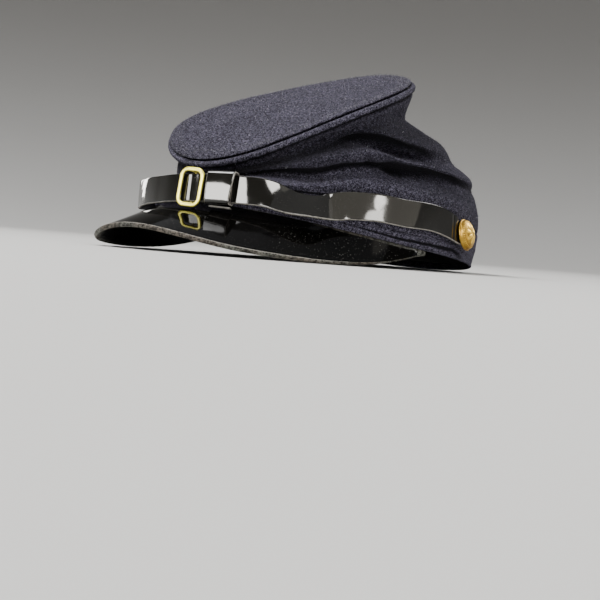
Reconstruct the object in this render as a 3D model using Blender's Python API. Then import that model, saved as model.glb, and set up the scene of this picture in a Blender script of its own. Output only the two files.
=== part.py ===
"""A soft wool kepi cap with a patent leather peak, a buckled chin strap and brass side buttons.

Every piece is worked out in the rim's own frame, in millimetres: +Z up from the plane of the
head opening, -Y to the front, +X to the wearer's left, and the angle round the opening is 0 at
the front and grows towards the wearer's left. One empty then tips the whole cap back until the
back of the rim and the sides of the peak stand on the floor, as the cap rests by itself.
"""
import math

import bmesh
import bpy
import numpy as np

MM = 0.001                      # metres in a millimetre
SEAT_GAP = 0.3                  # clearance between pieces that touch on the real cap

# ---- head opening and band ----
RIM_HALF_WIDTH = 86.7           # outside of the cloth, about a 60 cm head
RIM_HALF_LENGTH = 108.5
RIM_FRONT_LIFT = 6.1            # the rim is cut up over the forehead
BAND_HEIGHT = 21.0              # height of the band's top seam over the rim plane
BAND_FRONT_DIP = 5.0            # the top seam comes down behind the buckle
BAND_TAPER = 2.6                # the band's lower edge draws in this much at the nape
CLOTH_THICKNESS = 1.8
SWEATBAND_THICKNESS = 1.2
SWEATBAND_MARGIN = 1.2          # its top edge stays this far below the band's top seam
SWEATBAND_HEM = 4.0             # wool that shows below it at the nape

# ---- round top ----
TOP_HALF_WIDTH = 72.1
TOP_HALF_LENGTH = 73.3
TOP_CENTRE_Y = -39.8
TOP_CENTRE_Z = 71.4
TOP_PITCH = 30.7                # degrees that the top tips forward
TOP_ROLL = 3.1                  # degrees that it leans to the wearer's right
TOP_SADDLE = 3.2                # front and back edges hang, side edges rise
TOP_WAVE = 1.4                  # three-lobed warp of the edge
TOP_BOARD = 2.2                 # board and wool together
TOP_PUFF = 1.2                  # rise of the middle over the shoulder
TOP_SHOULDER = 0.93             # share of the radius where its edge starts to round over
TOP_INSET = 0.9                 # the top's edge and the welt's middle lie this far inside
TOP_OVER_SHARES = (0.12, 0.40, 0.68, 0.88, 0.955, 0.99, 1.0)    # rings of its upper face
TOP_UNDER_SHARES = (0.98, 0.55, 0.12)                           # rings of its lower face
WELT_RADIUS = 1.9               # the raised roll of wool round the top
HEAD_DROP = -2 * WELT_RADIUS - 1.5 * SEAT_GAP   # the side's upper edge, just under the welt

# ---- peak ----
PEAK_THICKNESS = 2.7
PEAK_TUCK = 1.5                 # how far its inner edge reaches in under the band
PEAK_END_ANGLE = 87.3
PEAK_END_WIDTH = 1.6
PEAK_TABLE = (                  # share of the end angle, width and drop of the outer edge
    ("share", "width", "drop"),
    (0.00, 40.1, 18.6),
    (0.33, 32.4, 23.4),
    (0.62, 14.0, 18.8),
    (0.85, 4.6, 9.8),
    (0.94, 2.6, 4.6),
    (1.00, PEAK_END_WIDTH, 0.9),
)

# ---- chin strap, buckle, keeper and buttons ----
STRAP_WIDTH = 15.4
STRAP_THICKNESS = 1.5
STRAP_END_ANGLE = 110.0
LAYER_SHIFT = 1.05              # where the two straps lap, each moves this far from the middle
LAPS_FROM = (-12.0, -3.0)       # angles over which the right strap comes to the outside
LAPS_TO = (26.0, 34.0)          # angles over which the left strap comes back to the middle
LEFT_STRAP_START = 7.2          # its hidden end, just past the buckle's bar
RIGHT_STRAP_END = 19.9          # its hidden end, inside the keeper
BAR_BULGE = 0.9                 # the right strap rises this much more over the buckle's bar
BAR_BULGE_ANGLE = 1.7
BUTTON_ANGLE = 105.0
BUTTON_DIAMETER = 18.4
BUTTON_RISE = 5.4
BUTTON_RIM = 1.1                # height of its edge under the dome
BUTTON_EDGE = 0.5               # rounding of that edge
SHANK_DIAMETER = 3.0
BUCKLE_ANGLE = 6.0
BUCKLE_WIDTH = 16.8
BUCKLE_HEIGHT = 22.0
BUCKLE_BORDER = 3.0
BUCKLE_THICKNESS = 1.7
BUCKLE_CORNER = 4.6
BUCKLE_EDGE = 0.4               # bevel of the frame's edges
BUCKLE_LEAN = 5.0               # degrees that its top leans to the wearer's left
BAR_WIDTH = 2.0
KEEPER_ANGLES = (12.2, 21.4)
KEEPER_WALL = 1.3
KEEPER_ROOM = 1.6               # it stands this far off the outer strap
KEEPER_CORNERS = (1.9, 0.6)     # corner radii of its outside and its inside

STRAP_TABLE = (                 # angle, distance off the band, height and outward lean of the top
    ("angle", "standoff", "height", "lean"),
    (112.0, 2.6, 11.6, -13.0),
    (105.0, 2.6, 14.2, -13.0),
    (97.0, 2.7, 17.2, -7.0),
    (88.0, 2.9, 18.7, -3.0),
    (76.0, 3.1, 17.4, -4.0),
    (66.0, 3.2, 17.0, -4.0),
    (57.0, 4.2, 15.0, -10.0),
    (48.0, 6.8, 11.2, -32.0),
    (40.0, 7.6, 11.2, -32.0),
    (31.0, 7.2, 14.2, -8.0),
    (22.0, 7.6, 14.0, -2.0),
    (6.0, 8.6, 12.4, 0.0),
    (-9.0, 8.3, 11.0, 0.0),
    (-20.0, 8.2, 10.6, 2.0),
    (-29.0, 9.2, 9.9, 4.0),
    (-38.0, 9.8, 9.7, 4.0),
    (-52.0, 6.6, 12.2, 0.0),
    (-68.0, 3.4, 15.6, -3.0),
    (-86.0, 2.9, 18.2, -3.0),
    (-97.0, 2.7, 17.2, -7.0),
    (-105.0, 2.6, 14.2, -13.0),
    (-112.0, 2.6, 11.6, -13.0),
)

STRAP_END_TABLE = (             # the strap's edges draw in towards its end under the button
    ("angle", "upper_half", "lower_half"),
    (0.0, STRAP_WIDTH / 2, STRAP_WIDTH / 2),
    (96.0, STRAP_WIDTH / 2, STRAP_WIDTH / 2),
    (99.0, 6.9, STRAP_WIDTH / 2),
    (102.0, 5.2, 7.6),
    (107.0, 4.6, 5.6),
    (STRAP_END_ANGLE, 3.2, 3.2),
)

# Folds of the side, one row for each section round the cap. Each pair is the share of the
# height and the outward shift of: the lower wall, the lower valley, the ridge over it, the upper
# valley, the lobe over it and the neck under the round top.
FOLD_TABLE = (
    ("angle", "wall", "wall_out", "low_valley", "low_out", "ridge", "ridge_out",
     "high_valley", "high_out", "lobe", "lobe_out", "neck", "neck_out"),
    (0, 0.27, -0.2, 0.48, -8.5, 0.60, -8.5, 0.70, -8.0, 0.81, -7.0, 0.92, -5.0),
    (30, 0.22, 0.0, 0.44, -8.0, 0.60, -4.5, 0.72, -5.0, 0.82, -6.5, 0.92, -5.5),
    (44, 0.17, 0.8, 0.34, -7.5, 0.58, 1.0, 0.75, -2.5, 0.84, -5.5, 0.92, -6.5),
    (58, 0.24, 1.4, 0.455, -6.5, 0.65, 2.5, 0.80, -4.5, 0.88, -6.0, 0.94, -6.0),
    (68, 0.24, 1.8, 0.465, -7.0, 0.66, 3.0, 0.79, -12.0, 0.875, -8.0, 0.94, -6.0),
    (78, 0.22, 2.0, 0.425, -8.5, 0.545, 3.0, 0.68, -17.5, 0.81, -5.0, 0.92, -6.0),
    (88, 0.21, 1.6, 0.405, -9.0, 0.50, 2.5, 0.595, -18.0, 0.70, -3.0, 0.87, -9.0),
    (98, 0.20, 0.8, 0.375, -7.5, 0.46, 1.0, 0.545, -15.0, 0.66, -4.5, 0.86, -13.5),
    (110, 0.19, -0.5, 0.35, -4.5, 0.43, -1.0, 0.53, -10.5, 0.66, -8.0, 0.84, -17.0),
    (135, 0.17, -1.5, 0.32, -3.5, 0.42, -2.5, 0.53, -9.0, 0.68, -10.5, 0.84, -20.0),
    (180, 0.16, -0.5, 0.31, -4.5, 0.42, -2.5, 0.55, -12.0, 0.70, -8.0, 0.86, -19.0),
    (230, 0.17, -0.5, 0.33, -5.0, 0.44, -1.5, 0.55, -11.0, 0.70, -8.5, 0.85, -18.0),
    (262, 0.20, 0.8, 0.39, -8.0, 0.49, 1.5, 0.59, -13.0, 0.72, -4.0, 0.88, -11.0),
    (284, 0.16, 0.3, 0.38, -8.0, 0.57, 1.0, 0.72, -11.0, 0.84, -7.0, 0.92, -7.5),
    (304, 0.11, 0.0, 0.24, -9.0, 0.50, -6.5, 0.74, -7.0, 0.86, -7.0, 0.94, -6.5),
    (332, 0.18, -0.2, 0.33, -9.0, 0.50, -8.5, 0.66, -7.0, 0.80, -6.5, 0.92, -5.5),
)
SIDE_CURVE = 2.3                # the wall leaves the band upright and leans in higher up

# ---- fineness of the facets ----
ROUND_STEPS = 64                # round the head opening
SIDE_STEPS = 20                 # up the folded side
PEAK_STEPS = 40
STRAP_STEP = 3.2                # degrees, and finer near the buckle
STRAP_FINE_STEP = 1.2
STRAP_FINE_RANGE = (-8.0, 24.0)
BUTTON_STEPS = 24

COLOURS = {                     # base colour, roughness, metallic
    "navy_wool": ((0.033, 0.031, 0.047), 0.92, 0.0),
    "patent_leather": ((0.012, 0.012, 0.012), 0.09, 0.0),
    "sweat_leather": ((0.010, 0.010, 0.010), 0.45, 0.0),
    "brass": ((0.62, 0.43, 0.16), 0.30, 1.0),
}


# ---- helpers ----

def unit(vectors):
    """Vectors scaled to length 1 along the last axis."""
    return vectors / np.linalg.norm(vectors, axis=-1, keepdims=True)


def smooth_columns(at, knots, columns):
    """Each column as a smooth curve through its knots, with slopes taken from the neighbours."""
    knots = np.asarray(knots, float)
    columns = np.asarray(columns, float)
    slopes = np.gradient(columns, knots, axis=0)
    place = np.clip(np.searchsorted(knots, at, side="right") - 1, 0, len(knots) - 2)
    span = knots[place + 1] - knots[place]
    t = ((at - knots[place]) / span)[..., None]
    span = span[..., None]
    start, end = columns[place], columns[place + 1]
    return ((1 + 2 * t) * (1 - t) ** 2 * start + t * (1 - t) ** 2 * span * slopes[place]
            + t * t * (3 - 2 * t) * end + t * t * (t - 1) * span * slopes[place + 1])


def round_columns(angles, table):
    """Table columns round the whole cap, joined smoothly where 360 meets 0."""
    rows = np.array(table[1:], float)
    turn = np.zeros(rows.shape[1])
    turn[0] = 360.0
    rows = np.vstack([rows[-3:] - turn, rows, rows[:3] + turn])
    return smooth_columns(np.mod(angles, 360.0), rows[:, 0], rows[:, 1:])


def material(name):
    """The Principled material of one finish."""
    if name in bpy.data.materials:
        return bpy.data.materials[name]
    colour, roughness, metallic = COLOURS[name]
    finish = bpy.data.materials.new(name)
    finish.use_nodes = True
    shader = finish.node_tree.nodes["Principled BSDF"]
    shader.inputs["Base Color"].default_value = (*colour, 1.0)
    shader.inputs["Roughness"].default_value = roughness
    shader.inputs["Metallic"].default_value = metallic
    return finish


def add_object(name, points, faces, finish, parent):
    """A closed mesh from points in millimetres, its faces turned outwards."""
    points = np.asarray(points, float).reshape(-1, 3) * MM
    mesh = bpy.data.meshes.new(name)
    mesh.from_pydata(points.tolist(), [], [[int(corner) for corner in face] for face in faces])
    turned = bmesh.new()
    turned.from_mesh(mesh)
    bmesh.ops.recalc_face_normals(turned, faces=turned.faces)
    turned.to_mesh(mesh)
    turned.free()
    mesh.materials.append(material(finish))
    mesh.shade_smooth()
    mesh.set_sharp_from_angle(angle=math.radians(50))
    mesh.update()
    thing = bpy.data.objects.new(name, mesh)
    bpy.context.collection.objects.link(thing)
    thing.parent = parent
    return thing


def grid_faces(index, wrap_first, wrap_second):
    """Four-sided faces over a grid of point numbers, closed where a direction wraps."""
    if wrap_first:
        index = np.vstack([index, index[:1]])
    if wrap_second:
        index = np.hstack([index, index[:, :1]])
    corners = (index[:-1, :-1], index[1:, :-1], index[1:, 1:], index[:-1, 1:])
    return [tuple(face) for face in np.stack(corners, axis=-1).reshape(-1, 4)]


def ring_wall(name, outer, inner, finish, parent):
    """A wall that runs all the way round: outer and inner grids, joined at both edges."""
    loop = np.concatenate([outer, inner[:, ::-1]], axis=1)
    index = np.arange(loop.shape[0] * loop.shape[1]).reshape(loop.shape[:2])
    return add_object(name, loop, grid_faces(index, True, True), finish, parent)


def strip_wall(name, outer, inner, finish, parent):
    """A wall with two ends: outer and inner grids, joined at both edges and capped."""
    loop = np.concatenate([outer, inner[:, ::-1]], axis=1)
    index = np.arange(loop.shape[0] * loop.shape[1]).reshape(loop.shape[:2])
    faces = grid_faces(index, False, True)
    for end in (index[0], index[-1]):
        faces += grid_faces(np.stack([end[:outer.shape[1]], end[:outer.shape[1] - 1:-1]]),
                            False, False)
    return add_object(name, loop, faces, finish, parent)


def surface_normals(grid, wrap_first):
    """Unit normals of a grid of points, from its differences in both directions."""
    if wrap_first:
        first = np.roll(grid, -1, axis=0) - np.roll(grid, 1, axis=0)
    else:
        first = np.gradient(grid, axis=0)
    second = np.gradient(grid, axis=1)
    return unit(np.cross(first, second))


# ---- surfaces of the cap ----

def rim_point(angle, off, height):
    """Points on an ellipse that runs off millimetres outside the head opening."""
    x = (RIM_HALF_WIDTH + off) * np.sin(angle)
    y = -(RIM_HALF_LENGTH + off) * np.cos(angle)
    return np.stack(np.broadcast_arrays(x, y, height), axis=-1)


def rim_normal(angle):
    """Level directions straight out of the head opening's ellipse."""
    x = np.sin(angle) / RIM_HALF_WIDTH
    y = -np.cos(angle) / RIM_HALF_LENGTH
    return unit(np.stack([x, y, np.zeros_like(x)], axis=-1))


def rim_height(angle):
    """Height of the rim's lower edge: level, and cut up over the forehead."""
    return RIM_FRONT_LIFT * np.clip(np.cos(angle), 0, 1) ** 2


def rim_taper(angle):
    """How far the band's lower edge lies inside its top seam, from the ears to the nape."""
    return BAND_TAPER * np.clip(-np.cos(angle), 0, 1) ** 2


def seam_height(angle):
    """Height of the seam between band and side."""
    return BAND_HEIGHT - BAND_FRONT_DIP * np.clip(np.cos(angle), 0, 1) ** 2


def top_axes():
    """Directions of the round top: to the wearer's left, to the back, and up out of it."""
    pitch, roll = math.radians(TOP_PITCH), math.radians(TOP_ROLL)
    left = np.array([math.cos(roll), 0.0, math.sin(roll)])
    back = np.array([0.0, math.cos(pitch), math.sin(pitch)])
    return left, back, np.cross(left, back)


def top_point(angle, inset, rise, share=1.0):
    """Points on the warped round top: inset from its edge, rise above its seam."""
    left, back, up = top_axes()
    warp = share ** 2 * (-TOP_SADDLE * np.cos(2 * angle) - TOP_WAVE * np.cos(3 * angle))
    x = share * (TOP_HALF_WIDTH - inset) * np.sin(angle)
    y = -share * (TOP_HALF_LENGTH - inset) * np.cos(angle)
    centre = np.array([0.0, TOP_CENTRE_Y, TOP_CENTRE_Z])
    return (centre + x[..., None] * left + y[..., None] * back
            + (warp + rise)[..., None] * up)


def side_surface(angle, along):
    """The folded side: along runs 0 to 7 over the band seam, six fold lines and the top seam."""
    folds = round_columns(np.degrees(angle), FOLD_TABLE)
    count = len(angle)
    shares = np.concatenate([np.zeros((count, 1)), folds[:, 0::2], np.ones((count, 1))], axis=1)
    shifts = np.concatenate([np.zeros((count, 1)), folds[:, 1::2], np.zeros((count, 1))], axis=1)
    lines = np.stack([shares, shifts], axis=-1).transpose(1, 0, 2)
    curve = smooth_columns(along, np.arange(8.0), lines.reshape(8, -1))
    curve = curve.reshape(len(along), count, 2).transpose(1, 0, 2)
    share, shift = curve[..., 0:1], curve[..., 1:2]
    foot = rim_point(angle, 0.0, seam_height(angle) + SEAT_GAP / 2)[:, None]
    head = top_point(angle, TOP_INSET, np.full(count, HEAD_DROP))[:, None]
    level = foot[..., :2] + (head[..., :2] - foot[..., :2]) * np.clip(share, 0, None) ** SIDE_CURVE
    height = foot[..., 2:] + (head[..., 2:] - foot[..., 2:]) * share
    return np.concatenate([level, height], axis=-1) + shift * rim_normal(angle)[:, None]


def peak_edge(angle):
    """Width and drop of the peak's outer edge at each angle."""
    rows = np.array(PEAK_TABLE[1:], float)
    mirror = rows[1:][::-1].copy()
    mirror[:, 0] *= -1
    rows = np.vstack([mirror, rows])
    share = angle / math.radians(PEAK_END_ANGLE)
    both = smooth_columns(share, rows[:, 0], rows[:, 1:])
    return both[..., 0], both[..., 1]


def peak_surface(angle, across):
    """Top of the peak: across is 0 at the band's edge and 1 at the outer edge."""
    width, drop = peak_edge(angle)
    start = rim_point(angle, 0.0, rim_height(angle) - SEAT_GAP)[:, None]
    out = (width[:, None] * across)[..., None] * rim_normal(angle)[:, None]
    down = drop[:, None] * np.clip(across, 0, None)
    return start + out - np.stack([0 * down, 0 * down, down], axis=-1)


def round_angles():
    """Angles of the facets round the head opening."""
    return np.radians(np.arange(ROUND_STEPS) * 360.0 / ROUND_STEPS)


# ---- pieces ----

def add_band(parent):
    """The upright strip of wool round the head opening."""
    angle = round_angles()
    low, high = rim_height(angle), seam_height(angle) - SEAT_GAP / 2
    faces = [np.stack([rim_point(angle, face - rim_taper(angle), low),
                       rim_point(angle, face, high)], axis=1)
             for face in (0.0, -CLOTH_THICKNESS)]
    return ring_wall("band", faces[0], faces[1], "navy_wool", parent)


def add_sweatband(parent):
    """The thin leather strip inside the band; at the front it covers the peak's inner edge."""
    angle = round_angles()
    over_peak = np.clip((np.cos(angle) - math.cos(math.radians(PEAK_END_ANGLE))) * 6, 0, 1)
    hem = SEAT_GAP + (SWEATBAND_HEM - SEAT_GAP) * np.clip(-np.cos(angle), 0, 1)
    low = rim_height(angle) + hem * (1 - over_peak) - (PEAK_THICKNESS + 2 * SEAT_GAP) * over_peak
    high = seam_height(angle) - SWEATBAND_MARGIN
    back = -CLOTH_THICKNESS - SEAT_GAP
    faces = [np.stack([rim_point(angle, face - rim_taper(angle), low),
                       rim_point(angle, face, high)], axis=1)
             for face in (back, back - SWEATBAND_THICKNESS)]
    return ring_wall("sweatband", faces[0], faces[1], "sweat_leather", parent)


def add_side(parent):
    """The soft side, a folded wall of one cloth between the band and the round top."""
    angle = round_angles()
    outer = side_surface(angle, np.linspace(0.0, 7.0, SIDE_STEPS))
    inner = outer - CLOTH_THICKNESS * surface_normals(outer, True)
    inner[:, 0] = rim_point(angle, -CLOTH_THICKNESS, outer[:, 0, 2])
    inner[:, -1] = top_point(angle, TOP_INSET + CLOTH_THICKNESS,
                             np.full(ROUND_STEPS, HEAD_DROP))
    return ring_wall("crown_side", outer, inner, "navy_wool", parent)


def add_top(parent):
    """The round top: a stiff board in wool, a little puffed, its rounded edge over the welt."""
    angle = round_angles()
    shares = np.array(TOP_OVER_SHARES)
    past = np.clip((shares - TOP_SHOULDER) / (1 - TOP_SHOULDER), 0, 1)
    over = TOP_BOARD * np.sqrt(1 - past ** 2) + TOP_PUFF * (1 - shares ** 2)
    level = SEAT_GAP / 2
    rings = [top_point(angle, TOP_INSET, np.full(ROUND_STEPS, level + rise), share)
             for share, rise in zip(shares, over)]
    rings += [top_point(angle, TOP_INSET, np.full(ROUND_STEPS, level), share)
              for share in TOP_UNDER_SHARES]
    points = np.stack(rings, axis=1)
    index = np.arange(points.shape[0] * points.shape[1]).reshape(points.shape[:2])
    faces = grid_faces(index, True, False)
    faces.append(tuple(index[:, 0]))
    faces.append(tuple(index[::-1, -1]))
    return add_object("crown_top", points, faces, "navy_wool", parent)


def add_welt(parent):
    """The raised roll round the top, lying on the side's upper edge."""
    angle = round_angles()
    rings = []
    for turn in np.radians(np.arange(8) * 45.0):
        inset = TOP_INSET - WELT_RADIUS * math.cos(turn)
        rise = np.full(ROUND_STEPS, WELT_RADIUS * (math.sin(turn) - 1) - SEAT_GAP / 2)
        rings.append(top_point(angle, inset, rise))
    points = np.stack(rings, axis=1)
    index = np.arange(points.shape[0] * points.shape[1]).reshape(points.shape[:2])
    return add_object("crown_welt", points, grid_faces(index, True, True), "navy_wool", parent)


def add_peak(parent):
    """The patent leather peak, curved down at its sides, tucked under the band."""
    end = math.radians(PEAK_END_ANGLE)
    angle = np.linspace(-end, end, PEAK_STEPS + 1)
    across = np.linspace(0.0, 1.0, 6)[None, :] * np.ones((len(angle), 1))
    top = peak_surface(angle, across)
    tuck = top[:, :1] - PEAK_TUCK * rim_normal(angle)[:, None]
    top = np.concatenate([tuck, top], axis=1)
    normals = surface_normals(top, False)
    normals *= np.sign(normals[..., 2:])
    normals[:, :2] = (0.0, 0.0, 1.0)
    bottom = top - PEAK_THICKNESS * normals
    return strip_wall("peak", top, bottom, "patent_leather", parent)


def strap_path(angle):
    """Middle line, outward direction and upward direction of the strap at each angle."""
    rows = np.array(STRAP_TABLE[1:], float)[::-1]
    values = smooth_columns(np.degrees(angle), rows[:, 0], rows[:, 1:])
    off, height, lean = values[:, 0], values[:, 1], np.radians(values[:, 2])
    middle = rim_point(angle, 0.0, height) + off[:, None] * rim_normal(angle)
    along = unit(np.gradient(middle, angle, axis=0))
    level_out = np.cross(along, np.array([0.0, 0.0, 1.0]))
    level_out = unit(level_out * np.sign(np.sum(level_out * rim_normal(angle), axis=1))[:, None])
    up = unit(np.cross(level_out, along) * np.sign(np.cross(level_out, along)[:, 2:]))
    leaned_up = np.cos(lean)[:, None] * up + np.sin(lean)[:, None] * level_out
    leaned_out = np.cos(lean)[:, None] * level_out - np.sin(lean)[:, None] * up
    return middle, leaned_out, leaned_up


def strap_angles(start, end):
    """Angles of the strap's stations in degrees, closer together near the buckle."""
    low, high = STRAP_FINE_RANGE
    fine = np.arange(low, high, STRAP_FINE_STEP)
    coarse = np.concatenate([np.arange(-STRAP_END_ANGLE, low, STRAP_STEP),
                             np.arange(high, STRAP_END_ANGLE, STRAP_STEP)])
    inside = np.concatenate([fine, coarse])
    inside = inside[(inside > start + 0.5) & (inside < end - 0.5)]
    return np.sort(np.concatenate([[start, end], inside]))


def strap_halves(degrees):
    """Upper and lower half widths of the strap."""
    rows = np.array(STRAP_END_TABLE[1:], float)
    upper = np.interp(np.abs(degrees), rows[:, 0], rows[:, 1])
    lower = np.interp(np.abs(degrees), rows[:, 0], rows[:, 2])
    return upper[:, None], lower[:, None]


def add_strap(name, start, end, shift, parent):
    """A flat strap from one angle to another, shifted off the middle line by a function."""
    degrees = strap_angles(start, end)
    middle, out, up = strap_path(np.radians(degrees))
    middle = middle + shift(degrees)[:, None] * out
    upper, lower = strap_halves(degrees)
    face = STRAP_THICKNESS / 2
    outer = np.stack([middle - lower * up + face * out, middle + upper * up + face * out], axis=1)
    inner = np.stack([middle - lower * up - face * out, middle + upper * up - face * out], axis=1)
    return strip_wall(name, outer, inner, "patent_leather", parent)


def ramp(degrees, low, high):
    """0 below one angle, 1 above the other, and a smooth rise between them."""
    t = np.clip((degrees - low) / (high - low), 0, 1)
    return t * t * (3 - 2 * t)


def outer_layer(degrees):
    """The right strap lies over the left strap, and bulges where it crosses the bar."""
    bulge = BAR_BULGE * np.exp(-((degrees - BUCKLE_ANGLE) / BAR_BULGE_ANGLE) ** 2)
    return LAYER_SHIFT * ramp(degrees, *LAPS_FROM) + bulge


def inner_layer(degrees):
    """The left strap lies under the right strap near the buckle."""
    return -LAYER_SHIFT * (1 - ramp(degrees, *LAPS_TO))


def frame_at(angle, lift):
    """Where a piece sits on the strap: its axes along, up and out, lift over the middle line."""
    nearby = np.radians(np.array([angle - 1.0, angle, angle + 1.0]))
    middle, out, up = (values[1] for values in strap_path(nearby))
    along = np.cross(up, out)
    return middle + lift * out, along, up, out


def place(points, angle, lift, lean=0.0):
    """Points of a small piece, drawn along, up and out, moved to its seat on the strap."""
    origin, along, up, out = frame_at(angle, lift)
    turn = math.radians(lean)
    turned_along = math.cos(turn) * along - math.sin(turn) * up
    turned_up = math.sin(turn) * along + math.cos(turn) * up
    x, y, z = (points[..., k:k + 1] for k in range(3))
    return origin + x * turned_along + y * turned_up + z * out


def rounded_rectangle(width, height, corner, steps=4):
    """Points round a rectangle with round corners, starting at the right."""
    points = []
    for quarter in range(4):
        middle_x = (width / 2 - corner) * (1 if quarter in (0, 3) else -1)
        middle_y = (height / 2 - corner) * (1 if quarter in (0, 1) else -1)
        for step in range(steps + 1):
            turn = math.pi / 2 * (quarter + step / steps)
            points.append((middle_x + corner * math.cos(turn), middle_y + corner * math.sin(turn)))
    return np.array(points)


def add_buckle(parent):
    """The brass slide: a rounded open frame with a sunk bar behind the strap."""
    profile = ((0.0, 0.0), (0.0, BUCKLE_THICKNESS - BUCKLE_EDGE),
               (BUCKLE_EDGE, BUCKLE_THICKNESS),
               (BUCKLE_BORDER - BUCKLE_EDGE, BUCKLE_THICKNESS),
               (BUCKLE_BORDER, BUCKLE_THICKNESS - BUCKLE_EDGE), (BUCKLE_BORDER, 0.0))
    rings = []
    for inset, rise in profile:
        loop = rounded_rectangle(BUCKLE_WIDTH - 2 * inset, BUCKLE_HEIGHT - 2 * inset,
                                 BUCKLE_CORNER - inset)
        rings.append(np.column_stack([loop, np.full(len(loop), rise)]))
    points = np.stack(rings, axis=1)
    index = np.arange(points.shape[0] * points.shape[1]).reshape(points.shape[:2])
    back = LAYER_SHIFT + STRAP_THICKNESS / 2 + SEAT_GAP
    buckle = add_object("buckle", place(points, BUCKLE_ANGLE, back, BUCKLE_LEAN),
                        grid_faces(index, True, True), "brass", parent)
    join(buckle, add_bar(back, parent), "UNION")
    return buckle


def add_bar(back, parent):
    """The sunk bar that the right strap crosses, with its two arms out to the frame."""
    top = LAYER_SHIFT + BAR_BULGE - STRAP_THICKNESS / 2 - SEAT_GAP - back
    middle = BUCKLE_THICKNESS / 2
    reach = BUCKLE_HEIGHT / 2 - BUCKLE_BORDER / 2
    bend = STRAP_WIDTH / 2 + 2 * SEAT_GAP
    outline = ((-reach, middle), (-reach, top - BAR_WIDTH), (reach, top - BAR_WIDTH),
               (reach, middle), (bend, middle), (bend, top), (-bend, top), (-bend, middle))
    sides = np.array([[(x, y, z) for y, z in outline] for x in (-BAR_WIDTH / 2, BAR_WIDTH / 2)])
    index = np.arange(sides.shape[0] * sides.shape[1]).reshape(sides.shape[:2])
    faces = grid_faces(index, False, True)
    faces += [tuple(index[0][::-1]), tuple(index[1])]
    return add_object("buckle_bar", place(sides, BUCKLE_ANGLE, back, BUCKLE_LEAN), faces,
                      "brass", parent)


def join(thing, other, operation):
    """Join or cut with a helper object that isn't itself a piece."""
    other.hide_render = True
    other.display_type = "WIRE"
    step = thing.modifiers.new(operation.lower(), "BOOLEAN")
    step.operation = operation
    step.object = other


def add_keeper(parent):
    """The leather loop round both straps beside the buckle."""
    high = STRAP_WIDTH / 2 + SEAT_GAP
    back = -LAYER_SHIFT - STRAP_THICKNESS / 2 - SEAT_GAP
    front = -back + KEEPER_ROOM
    degrees = np.linspace(*KEEPER_ANGLES, 5)
    middle, out, up = strap_path(np.radians(degrees))
    walls = []
    for grow, corner in zip((KEEPER_WALL, 0.0), KEEPER_CORNERS):
        loop = rounded_rectangle(2 * (high + grow), front - back + 2 * grow, corner, 3)
        across = loop[:, 0][:, None, None] * up[None]
        rise = (loop[:, 1] + (front + back) / 2)[:, None, None] * out[None]
        walls.append(middle[None] + across + rise)
    return ring_wall("strap_keeper", walls[0], walls[1], "patent_leather", parent)


def add_button(name, angle, parent):
    """A domed brass side button whose shank passes through the strap's end."""
    radius = BUTTON_DIAMETER / 2
    shank = SHANK_DIAMETER / 2
    standoff = np.interp(BUTTON_ANGLE, *np.array(STRAP_TABLE[1:3], float)[::-1, :2].T)
    depth = standoff + STRAP_THICKNESS / 2
    profile = [(shank, -depth), (shank, 0.0), (radius - 2 * BUTTON_EDGE, 0.0),
               (radius, BUTTON_EDGE), (radius, BUTTON_RIM)]
    for turn in np.radians([20.0, 45.0, 70.0]):
        profile.append(((radius - BUTTON_EDGE) * math.cos(turn),
                        BUTTON_RIM + (BUTTON_RISE - BUTTON_RIM) * math.sin(turn)))
    spins = np.arange(BUTTON_STEPS) * 2 * math.pi / BUTTON_STEPS
    rings = [np.column_stack([r * np.cos(spins), r * np.sin(spins), np.full(BUTTON_STEPS, z)])
             for r, z in profile]
    points = np.stack(rings, axis=1)
    count = points.shape[0] * points.shape[1]
    index = np.arange(count).reshape(points.shape[:2])
    tips = np.array([(0.0, 0.0, -depth), (0.0, 0.0, BUTTON_RISE)])
    flat = np.vstack([points.reshape(-1, 3), tips])
    faces = grid_faces(index, True, False)
    for k in range(BUTTON_STEPS):
        following = (k + 1) % BUTTON_STEPS
        faces.append((index[k, 0], count, index[following, 0])[::-1])
        faces.append((index[k, -1], index[following, -1], count + 1)[::-1])
    lift = STRAP_THICKNESS / 2 + SEAT_GAP
    return add_object(name, place(flat, angle, lift), faces, "brass", parent)


def pierce(strap, name, angle, parent):
    """The hole in a strap's end that the button's shank passes through."""
    radius = SHANK_DIAMETER / 2 + SEAT_GAP
    spins = np.arange(12) * 2 * math.pi / 12
    rings = [np.column_stack([radius * np.cos(spins), radius * np.sin(spins), np.full(12, z)])
             for z in (-STRAP_THICKNESS, STRAP_THICKNESS)]
    points = np.stack(rings, axis=1)
    index = np.arange(24).reshape(12, 2)
    faces = grid_faces(index, True, False)
    faces += [tuple(index[:, 0]), tuple(index[::-1, 1])]
    cutter = add_object(name, place(points, angle, 0.0), faces, "patent_leather", parent)
    join(strap, cutter, "DIFFERENCE")


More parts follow.
